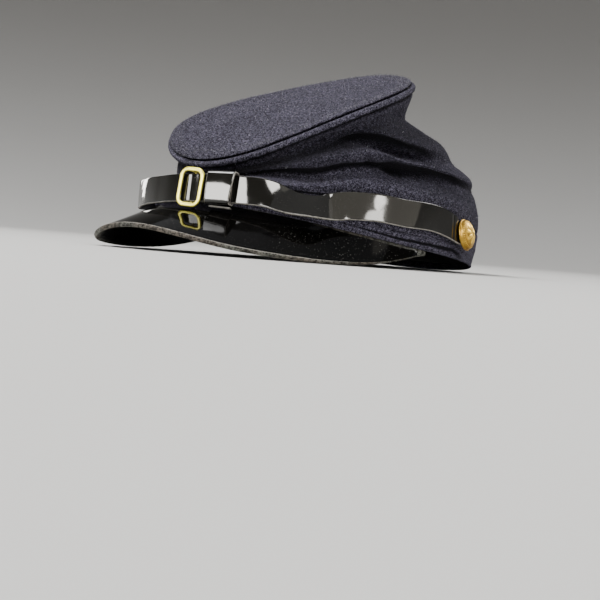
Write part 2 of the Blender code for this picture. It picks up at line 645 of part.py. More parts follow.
def stand_on_floor(cap):
    """Tip the cap back until peak and rim both stand on the floor, over the origin."""
    everything = [thing for thing in bpy.data.objects if thing.type == "MESH"]
    points = np.array([v.co for thing in everything for v in thing.data.vertices])
    front = points[points[:, 1] < 0]
    back = points[points[:, 1] > 0]
    low, high = 0.0, math.radians(20)
    for _ in range(40):
        tilt = (low + high) / 2
        turn = np.array([math.sin(-tilt), math.cos(tilt)])
        if (front[:, 1:] @ turn).min() < (back[:, 1:] @ turn).min():
            low = tilt
        else:
            high = tilt
    cap.rotation_euler = (-tilt, 0.0, 0.0)
    turn = np.array([[1, 0, 0], [0, math.cos(tilt), math.sin(tilt)],
                     [0, -math.sin(tilt), math.cos(tilt)]])
    stood = points @ turn.T
    lowest, highest = stood.min(axis=0), stood.max(axis=0)
    cap.location = (-(lowest[0] + highest[0]) / 2, -(lowest[1] + highest[1]) / 2, -lowest[2])
    print("tipped back", round(math.degrees(tilt), 2), "degrees")


def clear_scene():
    """Take every object out of the open file."""
    for thing in list(bpy.data.objects):
        bpy.data.objects.remove(thing, do_unlink=True)


def main():
    """Build every piece."""
    clear_scene()
    cap = bpy.data.objects.new("cap_rest", None)
    bpy.context.collection.objects.link(cap)
    add_band(cap)
    add_sweatband(cap)
    add_side(cap)
    add_top(cap)
    add_welt(cap)
    add_peak(cap)
    left = add_strap("strap_left", LEFT_STRAP_START, STRAP_END_ANGLE, inner_layer, cap)
    right = add_strap("strap_right", -STRAP_END_ANGLE, RIGHT_STRAP_END, outer_layer, cap)
    pierce(left, "left_strap_hole", BUTTON_ANGLE, cap)
    pierce(right, "right_strap_hole", -BUTTON_ANGLE, cap)
    add_keeper(cap)
    add_buckle(cap)
    add_button("button_left", BUTTON_ANGLE, cap)
    add_button("button_right", -BUTTON_ANGLE, cap)
    stand_on_floor(cap)


main()
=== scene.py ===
# %% [markdown]
# # A wool kepi cap with a patent leather peak
# The real cap is cut from thick felted wool: a band round the head, a soft side that has
# collapsed into folds, and a round top over a stiff board. A lacquered peak, a narrow
# lacquered chin strap, a brass slide and two brass buttons finish it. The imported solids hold
# the shapes and the sizes, so this lesson only refines their surfaces and gives them finishes.

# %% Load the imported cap
import math

import bpy
import numpy as np
from mathutils import Matrix, Vector


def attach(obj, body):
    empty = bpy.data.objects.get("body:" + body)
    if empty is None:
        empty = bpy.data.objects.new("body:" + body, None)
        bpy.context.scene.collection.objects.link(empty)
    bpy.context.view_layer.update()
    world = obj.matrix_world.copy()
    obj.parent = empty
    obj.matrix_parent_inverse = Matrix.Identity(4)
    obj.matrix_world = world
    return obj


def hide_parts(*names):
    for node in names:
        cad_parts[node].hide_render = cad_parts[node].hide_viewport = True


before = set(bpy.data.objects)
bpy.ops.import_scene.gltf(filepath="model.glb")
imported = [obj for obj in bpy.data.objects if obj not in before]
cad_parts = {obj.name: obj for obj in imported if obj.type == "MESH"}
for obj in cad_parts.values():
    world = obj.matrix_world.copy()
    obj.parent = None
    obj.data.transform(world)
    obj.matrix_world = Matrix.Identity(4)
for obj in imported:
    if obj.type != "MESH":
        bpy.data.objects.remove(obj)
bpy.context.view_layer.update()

# %% [markdown]
# ## The rim's own frame
# A hatter thinks of a cap from its head opening: the rim is level, the front is ahead and
# heights are counted up from the rim. Every surface below is written in that frame, in
# millimetres, with the angle 0 at the front and growing towards the wearer's left. The cap
# rests tipped back, on the nape and on the sides of its peak, so the last step of each piece
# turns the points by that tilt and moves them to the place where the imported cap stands.

# %% From the rim's frame to the standing cap
MM = 0.001
REST_TILT = math.radians(6.052)             # the rim leans back by this much
REST_PLACE = np.array([0.0, 19.321, 11.165])


def stand(points):
    """Points of the rim's frame, in mm, as places of the resting cap, in metres.

    y' = y cos t + z sin t and z' = z cos t - y sin t, for the tilt t, then a plain shift.
    """
    points = np.asarray(points, float)
    c, s = math.cos(REST_TILT), math.sin(REST_TILT)
    turn = np.array([[1.0, 0.0, 0.0], [0.0, c, s], [0.0, -s, c]])
    return (points @ turn.T + REST_PLACE) * MM


print("rim centre stands at", np.round(stand([0.0, 0.0, 0.0]), 4))

# %% [markdown]
# ## The camera
# The photograph looks at the cap's front left, from a little below the peak. The resting cap
# has its peak on the floor, so the same view would lie under the floor. The lens therefore
# stays just above the floor, and stands close enough that the round top, which is higher than
# the peak, is still seen as flat as it is in the photograph. It needs no shift.

# %% Camera at the photograph's angle
CAMERA_TURN = math.radians(42.3)        # round from the front, towards the wearer's left
CAMERA_DISTANCE = 950.0                 # from the middle of the rim, in mm
CAMERA_HEIGHT = 10.0
CAMERA_PAN = math.radians(0.45)         # the lens points this much past the rim's middle
CAMERA_TILT = math.radians(2.05)        # and this much down
CAMERA_ROLL = math.radians(4.55)        # the cap leans by this much in the picture
CAMERA_LENS = 94.2
SENSOR_WIDTH = 36.0


def add_camera():
    """Placed by its turn and height, and aimed by turning it: up from the floor, round, rolled."""
    place = Vector((REST_PLACE[0] + math.sin(CAMERA_TURN) * CAMERA_DISTANCE,
                    REST_PLACE[1] - math.cos(CAMERA_TURN) * CAMERA_DISTANCE, CAMERA_HEIGHT)) * MM
    data = bpy.data.cameras.new("photo_camera")
    data.sensor_width = SENSOR_WIDTH
    data.lens = CAMERA_LENS
    data.clip_start = 0.02
    camera = bpy.data.objects.new("photo_camera", data)
    bpy.context.scene.collection.objects.link(camera)
    camera.matrix_world = (Matrix.Translation(place)
                           @ Matrix.Rotation(CAMERA_TURN + CAMERA_PAN, 4, "Z")
                           @ Matrix.Rotation(math.pi / 2 - CAMERA_TILT, 4, "X")
                           @ Matrix.Rotation(CAMERA_ROLL, 4, "Z"))
    bpy.context.scene.camera = camera
    return camera


camera = add_camera()
print("camera at", [round(value, 3) for value in camera.location])

# %% [markdown]
# ## Writing materials as sums
# A procedural finish is a long formula, and drawing it as boxes and wires hides it. The class
# below wraps one socket, so that `grain * 0.4 + 0.1` adds the Math nodes by itself. Colours
# are mixed with their own nodes, because a Math node would turn them grey.


# %% Sockets that can be added and multiplied
class Sum:
    """One output socket; +, * and 1 - socket add Math nodes to its material."""

    def __init__(self, tree, socket):
        self.tree = tree
        self.socket = socket

    def math(self, operation, *values):
        """A Math node of this operation, fed by these values in order."""
        node = self.tree.nodes.new("ShaderNodeMath")
        node.operation = operation
        for place, value in zip(node.inputs, values):
            connect(self.tree, value, place)
        return Sum(self.tree, node.outputs[0])

    def __add__(self, other):
        return self.math("ADD", self, other)

    def __mul__(self, other):
        return self.math("MULTIPLY", self, other)

    def __rsub__(self, other):
        return self.math("SUBTRACT", other, self)

    __radd__ = __add__
    __rmul__ = __mul__

    def most(self, other):
        """The larger of the two."""
        return self.math("MAXIMUM", self, other)


def connect(tree, value, place):
    """Link a socket into an input, or set the input to a plain value."""
    if isinstance(value, Sum):
        tree.links.new(value.socket, place)
    else:
        place.default_value = value


class Finish:
    """One material: its shader, and one method that makes any other node."""

    def __init__(self, name):
        self.material = bpy.data.materials.new(name)
        self.material.use_nodes = True
        self.tree = self.material.node_tree
        self.shader = self.tree.nodes["Principled BSDF"]
        coordinates = self.tree.nodes.new("ShaderNodeTexCoord")
        self.place = Sum(self.tree, coordinates.outputs["Object"])

    def node(self, kind, inputs, output=0, **settings):
        """A node of a type: its settings first, then values or links for its sockets."""
        node = self.tree.nodes.new(kind)
        for key, value in settings.items():
            setattr(node, key, value)
        for key, value in inputs.items():
            connect(self.tree, value, node.inputs[key])
        return Sum(self.tree, node.outputs[output])

    def noise(self, scale, detail=2.0, roughness=0.5, stretch=(1, 1, 1), turn=(0, 0, 0)):
        """Noise from 0 to 1 with so many features a metre, stretched and turned if asked."""
        where = self.node("ShaderNodeMapping", {
            "Vector": self.place, "Rotation": turn, "Scale": stretch})
        return self.node("ShaderNodeTexNoise", {
            "Vector": where, "Scale": scale, "Detail": detail, "Roughness": roughness})

    def step(self, value, low, high, out_low=0.0, out_high=1.0):
        """A smooth rise from out_low to out_high while the value goes from low to high."""
        return self.node("ShaderNodeMapRange", {
            0: value, 1: low, 2: high, 3: out_low, 4: out_high}, interpolation_type="SMOOTHSTEP")

    def mix(self, share, first, second):
        """A colour between two others."""
        return self.node("ShaderNodeMix", {0: share, 6: first, 7: second}, 2, data_type="RGBA")

    def mark(self, name):
        """A number painted on the piece's points, such as where its cut edge is."""
        return self.node("ShaderNodeAttribute", {}, 2, attribute_name=name)

    def bump(self, height, strength, depth, under=None):
        """Small relief from a height field; another relief can lie under it."""
        inputs = {"Height": height, "Strength": strength, "Distance": depth}
        if under is not None:
            inputs["Normal"] = under
        return self.node("ShaderNodeBump", inputs)

    def set(self, **inputs):
        """Feed the shader; double underscores stand for spaces, and plain values stay unlinked."""
        for key, value in inputs.items():
            connect(self.tree, value, self.shader.inputs[key.replace("__", " ")])


def colour(red, green, blue):
    """An opaque linear colour."""
    return (red, green, blue, 1.0)


print("material helpers ready")

# %% [markdown]
# ## Surfaces from grids
# Every piece is a grid of points, worked out as whole arrays: rings round the head, or stations
# along a strap, with the cross-section as the second direction. A ring closes in both
# directions and is a wall with a real thickness, a strip is closed by a flat face at each end,
# and a turned form by a small flat face at each pole.

# %% Mesh helpers
UP = np.array([0.0, 0.0, 1.0])


def unit(vectors):
    """Vectors scaled to length 1 along the last axis."""
    return vectors / np.linalg.norm(vectors, axis=-1, keepdims=True)


def smooth_columns(at, knots, columns):
    """Columns as smooth curves through knots: cubic pieces with the neighbours' mean slopes."""
    knots = np.asarray(knots, float)
    columns = np.asarray(columns, float)
    slopes = np.gradient(columns, knots, axis=0)
    place = np.clip(np.searchsorted(knots, at, side="right") - 1, 0, len(knots) - 2)
    span = knots[place + 1] - knots[place]
    t = ((at - knots[place]) / span)[..., None]
    span = span[..., None]
    start, end = columns[place], columns[place + 1]
    return ((1 + 2 * t) * (1 - t) ** 2 * start + t * (1 - t) ** 2 * span * slopes[place]
            + t * t * (3 - 2 * t) * end + t * t * (t - 1) * span * slopes[place + 1])


def ramp(degrees, low, high):
    """0 below one angle, 1 above the other, and a smooth rise between them."""
    t = np.clip((degrees - low) / (high - low), 0, 1)
    return t * t * (3 - 2 * t)


def round_columns(degrees, table):
    """Table columns round the whole cap, joined smoothly where 360 meets 0."""
    rows = np.array(table[1:], float)
    turn = np.zeros(rows.shape[1])
    turn[0] = 360.0
    rows = np.vstack([rows[-3:] - turn, rows, rows[:3] + turn])
    return smooth_columns(np.mod(degrees, 360.0), rows[:, 0], rows[:, 1:])


def round_angles(steps):
    """Even angles round a full turn."""
    return np.arange(steps) * 2 * math.pi / steps


def bell(distance, half_width):
    """exp(-(distance / half width) ** 2): 1 in the middle and close to 0 two widths away."""
    return np.exp(-(distance / half_width) ** 2)


def grid_quads(shape, wrap_first, wrap_second):
    """Point numbers of the faces of a grid, closed where a direction wraps."""
    index = np.arange(shape[0] * shape[1]).reshape(shape)
    if wrap_first:
        index = np.vstack([index, index[:1]])
    if wrap_second:
        index = np.hstack([index, index[:, :1]])
    corners = (index[:-1, :-1], index[1:, :-1], index[1:, 1:], index[:-1, 1:])
    return np.stack(corners, axis=-1).reshape(-1, 4)


def volume(points, quads):
    """Signed volume inside closed quads: the sum of corner triple products over 6."""
    a, b, c, d = (points[quads[:, k]] for k in range(4))
    return (np.einsum("ij,ij->i", a, np.cross(b, c)) + np.einsum("ij,ij->i", a, np.cross(c, d))
            ).sum() / 6


def link_piece(name, mesh, finish, replaced):
    """The object of a finished mesh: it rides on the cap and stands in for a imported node."""
    mesh.materials.append(finish)
    piece = bpy.data.objects.new(name, mesh)
    bpy.context.scene.collection.objects.link(piece)
    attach(piece, "root")
    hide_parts(replaced)
    return piece


def end_faces(shape, form):
    """None for a ring, a strip's two end stations or a turned form's poles, all facing out."""
    index = np.arange(shape[0] * shape[1]).reshape(shape)
    return {"ring": [], "strip": [index[0], index[-1][::-1]],
            "turned": [index[::-1, 0], index[:, -1]]}[form]


def add_piece(name, grid, finish, form, replaced, marks=None, sharp=50.0):
    """A closed piece from a grid of rim-frame points, its end faces and its painted marks."""
    shape = grid.shape[:2]
    points = stand(grid.reshape(-1, 3))
    quads = grid_quads(shape, form != "strip", form != "turned")
    caps = end_faces(shape, form)
    if volume(points - points.mean(axis=0), quads) < 0:
        quads = quads[:, ::-1]
        caps = [cap[::-1] for cap in caps]
    mesh = bpy.data.meshes.new(name)
    mesh.from_pydata(points.tolist(), [], quads.tolist() + [cap.tolist() for cap in caps])
    for mark, values in (marks or {}).items():
        painted = mesh.attributes.new(mark, "FLOAT", "POINT")
        painted.data.foreach_set("value", np.broadcast_to(values, shape).astype(np.float32).ravel())
    mesh.shade_smooth()
    mesh.set_sharp_from_angle(angle=math.radians(sharp))
    size = points.max(axis=0) - points.min(axis=0)
    print(name, "faces", len(mesh.polygons), "size in mm", np.round(size * 1000, 1))
    return link_piece(name, mesh, finish, replaced)


def grid_normals(grid, wrap_first):
    """Unit normals of a grid of points, from its differences in both directions."""
    if wrap_first:
        first = np.roll(grid, -1, axis=0) - np.roll(grid, 1, axis=0)
    else:
        first = np.gradient(grid, axis=0)
    return unit(np.cross(first, np.gradient(grid, axis=1)))


print("mesh helpers ready")

# %% [markdown]
# ## The floor, the backdrop and the studio light
# The cap is shown in a plain pale studio. The floor could be one plane with a wall behind, but
# the camera also walks round the cap, so floor and wall are one round bowl: a flat middle whose
# rim sweeps up on all sides and leaves no edge in any view. Soft boxes stand where the gloss of
# the strap in the photograph puts them.

# %% Floor and backdrop in one turned surface
BOWL_FLAT = 1.6             # radius of the flat middle, in metres
BOWL_SWEEP = 2.8            # radius of the sweep up to the wall
BOWL_WALL = 0.6             # height of the wall over the sweep
BOWL_ROUND = 96
PALE = colour(0.58, 0.575, 0.56)
WALL_GREY = colour(0.245, 0.238, 0.226)
GREY_FROM, GREY_TO = 1.9, 3.7           # distances over which the paper turns from pale to grey


def add_stage():
    """A profile of radius and height turned about the cap: flat, then a quarter circle, then up."""
    turn = np.linspace(0.0, math.pi / 2, 33)
    radius = np.concatenate([[0.0, BOWL_FLAT / 2], BOWL_FLAT + BOWL_SWEEP * np.sin(turn),
                             [BOWL_FLAT + BOWL_SWEEP]])
    height = np.concatenate([[0.0, 0.0], BOWL_SWEEP * (1 - np.cos(turn)),
                             [BOWL_SWEEP + BOWL_WALL]])
    spin = round_angles(BOWL_ROUND)
    points = np.stack(np.broadcast_arrays(
        radius[:, None] * np.cos(spin), radius[:, None] * np.sin(spin), height[:, None]), axis=-1)
    quads = grid_quads(points.shape[:2], False, True)[BOWL_ROUND:]
    middle = list(range(BOWL_ROUND, 2 * BOWL_ROUND))
    mesh = bpy.data.meshes.new("studio_bowl")
    mesh.from_pydata(points.reshape(-1, 3).tolist(), [], quads.tolist() + [middle])
    mesh.shade_smooth()
    bowl = bpy.data.objects.new("studio_bowl", mesh)
    bpy.context.scene.collection.objects.link(bowl)
    paper = Finish("pale_paper")
    far = paper.node("ShaderNodeVectorMath", {0: paper.place}, 1, operation="LENGTH")
    paper.set(Base__Color=paper.mix(paper.step(far, GREY_FROM, GREY_TO), PALE, WALL_GREY),
              Roughness=0.9, Specular__IOR__Level=0.2)
    mesh.materials.append(paper.material)


add_stage()
print("stage made")

# %% Soft light
SKY = (0.95, 0.96, 1.0, 1.0)
SKY_STRENGTH = 0.36
LAMP_DISTANCE = 2.4
AIM = Vector((0.0, -0.02, 0.05))
WARM = np.array([1.0, 0.94, 0.80])
SOFT_BOXES = (
    ("name", "shape", "azimuth", "elevation", "width", "height", "turn", "watts", "warmth",
     "lights"),
    ("key_box", "RECTANGLE", -30, 60, 1.3, 1.2, 0, 101, 0.1, "all"),
    ("fill_box", "RECTANGLE", 72, 38, 0.8, 0.8, 0, 26, 0.1, "cloth"),
    ("wrap_box", "RECTANGLE", 96, 12, 0.8, 0.8, 0, 6.5, 0.1, "cloth"),
    ("front_box", "RECTANGLE", 3.1, 10.8, 1.24, 0.9, 0, 96, 0.4, "gloss"),
    ("slot_box", "RECTANGLE", -34, 9.5, 0.86, 0.52, 0, 26, 0.4, "gloss"),
    ("high_box", "RECTANGLE", 49.6, 30, 0.9, 0.42, 14, 33, 0.4, "gloss"),
    ("side_wash", "RECTANGLE", 99, 24, 2.6, 2.1, 0, 15, 1, "gloss"),
    ("side_body", "RECTANGLE", 103.4, 6.4, 0.26, 0.34, 0, 5.6, 0.4, "gloss"),
    ("side_head", "ELLIPSE", 105, 12.3, 0.18, 0.155, 0, 1.8, 0.4, "gloss"),
    ("far_strip", "RECTANGLE", -103, 6, 0.5, 0.6, 0, 12, 0.4, "gloss"),
    ("back_box", "RECTANGLE", 168, 37, 1.1, 0.9, 0, 46, 0.2, "gloss"),
)


def add_light():
    """A dim even sky, and the soft boxes: each stands in its direction and faces the cap.

    Each is turned about its own middle as well. Those for the gloss stand where the lacquer
    mirrors them and light no cloth, and those for the cloth leave no mirror image.
    """
    world = bpy.data.worlds.new("studio_sky")
    bpy.context.scene.world = world
    world.use_nodes = True
    sky = world.node_tree.nodes["Background"]
    sky.inputs["Color"].default_value = SKY
    sky.inputs["Strength"].default_value = SKY_STRENGTH
    for row in SOFT_BOXES[1:]:
        name, shape, azimuth, elevation, width, height, turned, watts, warmth, lights = row
        turn, rise = math.radians(azimuth), math.radians(elevation)
        away = Vector((math.sin(turn) * math.cos(rise), -math.cos(turn) * math.cos(rise),
                       math.sin(rise)))
        lamp = bpy.data.lights.new(name, "AREA")
        lamp.shape = shape
        lamp.size, lamp.size_y = width, height
        lamp.energy = watts
        lamp.color = 1 - warmth * (1 - WARM)
        box = bpy.data.objects.new(name, lamp)
        box.location = AIM + away * LAMP_DISTANCE
        upright = (-away).to_track_quat("-Z", "Y").to_matrix()
        box.rotation_euler = (upright @ Matrix.Rotation(math.radians(turned), 3, "Z")).to_euler()
        box.visible_diffuse = lights != "gloss"
        box.visible_glossy = lights != "cloth"
        bpy.context.scene.collection.objects.link(box)


add_light()
print(len(SOFT_BOXES) - 1, "soft boxes")

# %% [markdown]
# ## Felted wool
# The cloth is heavy navy wool, milled until its weave is gone: under a lens it is a mat of fine
# curled fibres, some pale, with a soft nap that catches light at its edges. A weave would be
# wrong, so four sets of stretched noise at different angles cross as fibres, a finer noise
# gives the nap, a slower one gathers it in tufts, and the sheen of the shader gives the soft
# light along the outline. The round top is brushed, so its grain is coarser. The top, the rolled
# edge and the band are paler copies of the wool: painted light, since more light falls on them,
# and on the rolled edge wear as well. Folds and seams carry painted shade.

# %% Navy wool
WOOL_DARK = colour(0.0050, 0.0046, 0.0085)
WOOL_LIGHT = colour(0.1720, 0.1590, 0.2180)
WOOL_FLECK = colour(0.38, 0.38, 0.41)
# the near black that the painted shade mark mixes in: folds, seams and under the top
WOOL_PAINTED_SHADE = colour(0.0018, 0.0016, 0.0026)
WOOL_SHEEN = colour(0.62, 0.61, 0.70)
WOOL_FEATURES = {"fibre": 1150.0, "nap": 2100.0, "pile": 1050.0, "fleck": 880.0}    # a metre
PATCH_FEATURES, TUFT_FEATURES = 38.0, 520.0
WOOL_RELIEF = 0.0014                # in metres, for a grain of 1
FIBRE_TURNS = ((0.3, 0.9, 0.2), (1.2, 0.1, 2.1), (2.2, 1.7, 0.8), (0.8, 2.6, 1.5))


def wool_finish(name, grain, contrast, level):
    """Felted wool: crossing fibres, nap, tufts, pale flecks, painted shade in the folds and a soft
    sheen.

    The grain scales every noise, the contrast narrows the step from dark to light, and the
    level makes the whole cloth paler: painted light for pieces that more light falls on, and wear
    on the rolled edge.
    """
    wool = Finish(name)
    fibres = None
    for turn in FIBRE_TURNS:
        lines = wool.noise(WOOL_FEATURES["fibre"] * grain, 1.5, 0.6, (1.0, 0.26, 1.0), turn)
        fibres = lines if fibres is None else fibres.most(lines)
    nap = wool.noise(WOOL_FEATURES["nap"] * grain, 2.0, 0.6)
    pile = wool.noise(WOOL_FEATURES["pile"] * grain, 1.5, 0.6)
    flecks = wool.noise(WOOL_FEATURES["fleck"] * grain, 1.0, 0.4, turn=(0.5, 0.2, 0.9))
    patches = wool.noise(PATCH_FEATURES, 3.0, 0.6)
    tufts = wool.noise(TUFT_FEATURES, 2.0, 0.6)
    shade = (wool.step(fibres, 0.67 - 0.11 / contrast, 0.67 + 0.11 / contrast) * 0.45
             + wool.step(pile, 0.53 - 0.09 / contrast, 0.53 + 0.09 / contrast) * 0.42
             + wool.step(nap, 0.42, 0.66) * 0.13)
    shade = shade * wool.step(patches, 0.20, 0.80, 0.84, 1.16) * level
    shade = shade * wool.step(tufts, 0.38, 0.62, 0.66, 1.34)
    body = wool.mix(wool.step(flecks, 0.70, 0.78) * 0.45,
                    wool.mix(shade, WOOL_DARK, WOOL_LIGHT), WOOL_FLECK)
    relief = wool.bump(fibres * 0.9 + pile * 0.7 + nap * 0.3, 1.0, WOOL_RELIEF / grain)
    # The shade mark painted on the mesh mixes the cloth towards a near black: painted shade in
    # folds, seams and under the top.
    wool.set(Base__Color=wool.mix(wool.mark("painted_shade") * 0.97, body, WOOL_PAINTED_SHADE), Normal=relief,
             Roughness=0.95, Specular__IOR__Level=0.04, Sheen__Weight=0.04,
             Sheen__Roughness=0.5, Sheen__Tint=WOOL_SHEEN)
    return wool.material


# The paler copies below are painted light for the pieces that more light falls on, with some wear
# on the roll.
wool = wool_finish("navy_wool_felt", 1.35, 1.1, 1.0)
top_wool = wool_finish("navy_wool_brushed_painted_light", 0.95, 1.5, 1.08)
roll_wool = wool_finish("navy_wool_roll_painted_light", 1.4, 1.2, 1.4)
band_wool = wool_finish("navy_wool_band_painted_light", 1.4, 1.2, 1.6)
print("finishes:", wool.name, top_wool.name, roll_wool.name, band_wool.name)

# %% [markdown]
# ## Patent leather
# The peak and the strap are leather under a thick clear lacquer. Lacquer is smooth but not
# flat: it carries a long soft waviness, some dust and a few fine scratches. Where the leather
# is cut, its grey-brown fibres show. The edge is a number painted on the mesh, so one formula
# serves the face, the cut edge and the plain back, of the peak as of the strap.

# %% Lacquered leather with a cut edge
STRAP_BLACK = colour(0.0085, 0.0080, 0.0065)
PEAK_BLACK = colour(0.0016, 0.0015, 0.0013)
CUT_DARK = colour(0.012, 0.010, 0.008)
CUT_LIGHT = colour(0.155, 0.134, 0.112)
CUT_GREY = colour(0.165, 0.166, 0.144)
LIP_LIGHT = colour(0.330, 0.310, 0.275)
BACK_BLACK = colour(0.006, 0.006, 0.0065)
DUST = colour(0.32, 0.31, 0.29)
LACQUER_FEATURES = {                # of each noise, a metre
    "fibre": 1400.0, "strand": 420.0, "speck": 1500.0, "dusty": 34.0, "tint": 45.0,
    "haze": 60.0, "wave": 70.0, "orange_peel": 480.0}
LACQUER_IOR = 1.52
CUT_RELIEF = 0.0005                 # in metres


def lacquer_finish(name, black, dust_amount, wave_depth, gloss_level):
    """Black gloss with dust, a fibrous cut edge and a matt back, chosen by painted marks.

    The gloss level scales the mirror image. The lip mark is the light line where the lacquer
    ends at a cut edge.
    """
    gloss = Finish(name)
    cut = gloss.step(gloss.mark("cut"), 0.25, 0.60)
    lip = gloss.step(gloss.mark("lip"), 0.25, 0.60)
    back = gloss.step(gloss.mark("back"), 0.35, 0.65)
    count = LACQUER_FEATURES
    fibre = gloss.noise(count["fibre"], 4.0, 0.65)
    strand = gloss.noise(count["strand"], 3.0, 0.6)
    specks = gloss.step(gloss.noise(count["speck"], 0.0, turn=(0.4, 0.2, 1.1)), 0.745, 0.80)
    dusty = gloss.step(gloss.noise(count["dusty"]), 0.42, 0.66)
    dust = specks * (dusty * 0.8 + 0.2) * dust_amount * (1 - cut)
    tint = gloss.mix(gloss.step(gloss.noise(count["tint"]), 0.40, 0.60), CUT_GREY, CUT_LIGHT)
    edge = gloss.mix(gloss.step(fibre * 0.5 + strand * 0.5, 0.43, 0.57), CUT_DARK, tint)
    edge = gloss.mix(lip * gloss.step(fibre, 0.30, 0.55), edge, LIP_LIGHT)
    face = gloss.mix(dust, gloss.mix(back, black, BACK_BLACK), DUST)
    haze = gloss.step(gloss.noise(count["haze"], 3.0, 0.6), 0.35, 0.75)
    ripple = gloss.noise(count["wave"], 1.0) + gloss.noise(count["orange_peel"], 1.0) * 0.02
    rough = gloss.bump(fibre * (cut + back * 0.4), 0.7, CUT_RELIEF,
                       gloss.bump(ripple, 1.0, wave_depth))
    gloss.set(Base__Color=gloss.mix(cut, face, edge), Normal=rough, IOR=LACQUER_IOR,
              Specular__IOR__Level=gloss_level,
              Roughness=(haze * 0.05 + 0.045) * (1 - cut) + cut * 0.75 + back * 0.5
              + dust * 0.5)
    return gloss.material


# The peak's copy is blacker and mirrors less than the strap's: painted shade, as the peak mirrors
# darker surroundings.
peak_lacquer = lacquer_finish("patent_leather_peak", PEAK_BLACK, 0.20, 0.00008, 0.13)
strap_lacquer = lacquer_finish("patent_leather_strap", STRAP_BLACK, 0.15, 0.00010, 0.58)
print("finishes:", peak_lacquer.name, strap_lacquer.name)

# %% [markdown]
# ## Sweatband leather and brass
# The sweatband is thin dark sheepskin: a satin grain of small cells, a little polished by wear.
# The brass is gilt that has worn: bright on edges and high points, browner in the hollows.

# %% Sweatband leather
SWEAT_DARK = colour(0.006, 0.0055, 0.005)
SWEAT_LIGHT = colour(0.030, 0.027, 0.024)
SWEAT_CELLS, SWEAT_PATCHES = 900.0, 60.0            # a metre
SWEAT_RELIEF = 0.0002


def sweat_finish():
    """Satin leather: cells from a Voronoi distance, patches of polish."""
    hide = Finish("sweatband_leather")
    cells = hide.node("ShaderNodeTexVoronoi", {"Vector": hide.place, "Scale": SWEAT_CELLS},
                      feature="DISTANCE_TO_EDGE")
    grain = hide.step(cells, 0.0, 0.35)
    patches = hide.noise(SWEAT_PATCHES, 3.0, 0.6)
    hide.set(Base__Color=hide.mix(grain * 0.5 + patches * 0.4, SWEAT_DARK, SWEAT_LIGHT),
             Roughness=0.34 + patches * 0.22,
             Normal=hide.bump(grain, 0.5, SWEAT_RELIEF))
    return hide.material


hide = sweat_finish()
print("finish:", hide.name)

# %% Worn gilt brass
SLIDE_DEEP = colour(0.22, 0.17, 0.045)
SLIDE_BRIGHT = colour(0.66, 0.60, 0.12)
BUTTON_DEEP = colour(0.20, 0.09, 0.010)
BUTTON_BRIGHT = colour(1.00, 0.67, 0.12)
TARNISH_SPOTS, FINE_SPOTS = 260.0, 1800.0           # a metre
BRASS_RELIEF = 0.00025


def brass_finish(name, deep, bright, rough):
    """Gilt metal: colour and roughness follow a worn mark and slow tarnish."""
    brass = Finish(name)
    worn = brass.mark("worn")
    tarnish = brass.noise(TARNISH_SPOTS, 4.0, 0.6)
    fine = brass.noise(FINE_SPOTS, 2.0, 0.6)
    shine = brass.step(worn * 0.75 + tarnish * 0.5, 0.25, 0.95)
    brass.set(Base__Color=brass.mix(shine, deep, bright), Metallic=1.0,
              Roughness=rough + 0.16 * (1 - shine) + fine * 0.06,
              Normal=brass.bump(fine * 0.3 + tarnish * 0.7, 0.25, BRASS_RELIEF))
    return brass.material


slide_brass = brass_finish("gilt_slide", SLIDE_DEEP, SLIDE_BRIGHT, 0.34)
button_brass = brass_finish("gilt_button", BUTTON_DEEP, BUTTON_BRIGHT, 0.30)
print("finishes:", slide_brass.name, button_brass.name)

# %% [markdown]
# ## The head opening
# The rim is an ellipse, cut up a little over the forehead. The band's top seam dips at the
# front, behind the slide, and the band's lower edge draws in towards the nape.

# %% Rim ellipse
RIM_HALF_WIDTH = 86.7
RIM_HALF_LENGTH = 108.5
RIM_FRONT_LIFT = 6.1
BAND_HEIGHT = 21.0
BAND_FRONT_DIP = 5.0
BAND_TAPER = 2.6
CLOTH_THICKNESS = 1.8
SEAT_GAP = 0.3


def rim_point(angle, off, height):
    """x = (a + off) sin t and y = -(b + off) cos t, with the height given."""
    x = (RIM_HALF_WIDTH + off) * np.sin(angle)
    y = -(RIM_HALF_LENGTH + off) * np.cos(angle)
    return np.stack(np.broadcast_arrays(x, y, height), axis=-1)


def rim_normal(angle):
    """Level directions straight out of the ellipse: (sin t / a, -cos t / b), scaled to 1."""
    x = np.sin(angle) / RIM_HALF_WIDTH
    y = -np.cos(angle) / RIM_HALF_LENGTH
    return unit(np.stack([x, y, np.zeros_like(x)], axis=-1))


def rim_height(angle):
    """Lower edge of the rim: level, and lifted by cos squared over the forehead."""
    return RIM_FRONT_LIFT * np.clip(np.cos(angle), 0, 1) ** 2


def rim_taper(angle):
    """How far the band's lower edge lies inside its top seam, from the ears to the nape."""
    return BAND_TAPER * np.clip(-np.cos(angle), 0, 1) ** 2


def seam_height(angle):
    """Top seam of the band, lower by cos squared at the front."""
    return BAND_HEIGHT - BAND_FRONT_DIP * np.clip(np.cos(angle), 0, 1) ** 2


print("rim", 2 * RIM_HALF_WIDTH, "by", 2 * RIM_HALF_LENGTH, "mm")

# %% [markdown]
# ## The round top's plane
# The top is a disc on a stiff board that tips forward and leans a little. Its edge is not
# quite flat: wool and board have warped, so the edge follows two and three waves to the turn.

# %% Warped disc
TOP_HALF_WIDTH = 72.1
TOP_HALF_LENGTH = 73.3
TOP_CENTRE = np.array([0.0, -39.8, 71.4])
TOP_PITCH = math.radians(30.7)
TOP_ROLL = math.radians(3.1)
TOP_SADDLE = 3.2
TOP_WAVE = 1.4
TOP_BOARD = 2.2
TOP_PUFF = 1.2
TOP_INSET = 0.9
WELT_RADIUS = 1.9
HEAD_DROP = -2 * WELT_RADIUS - 1.5 * SEAT_GAP


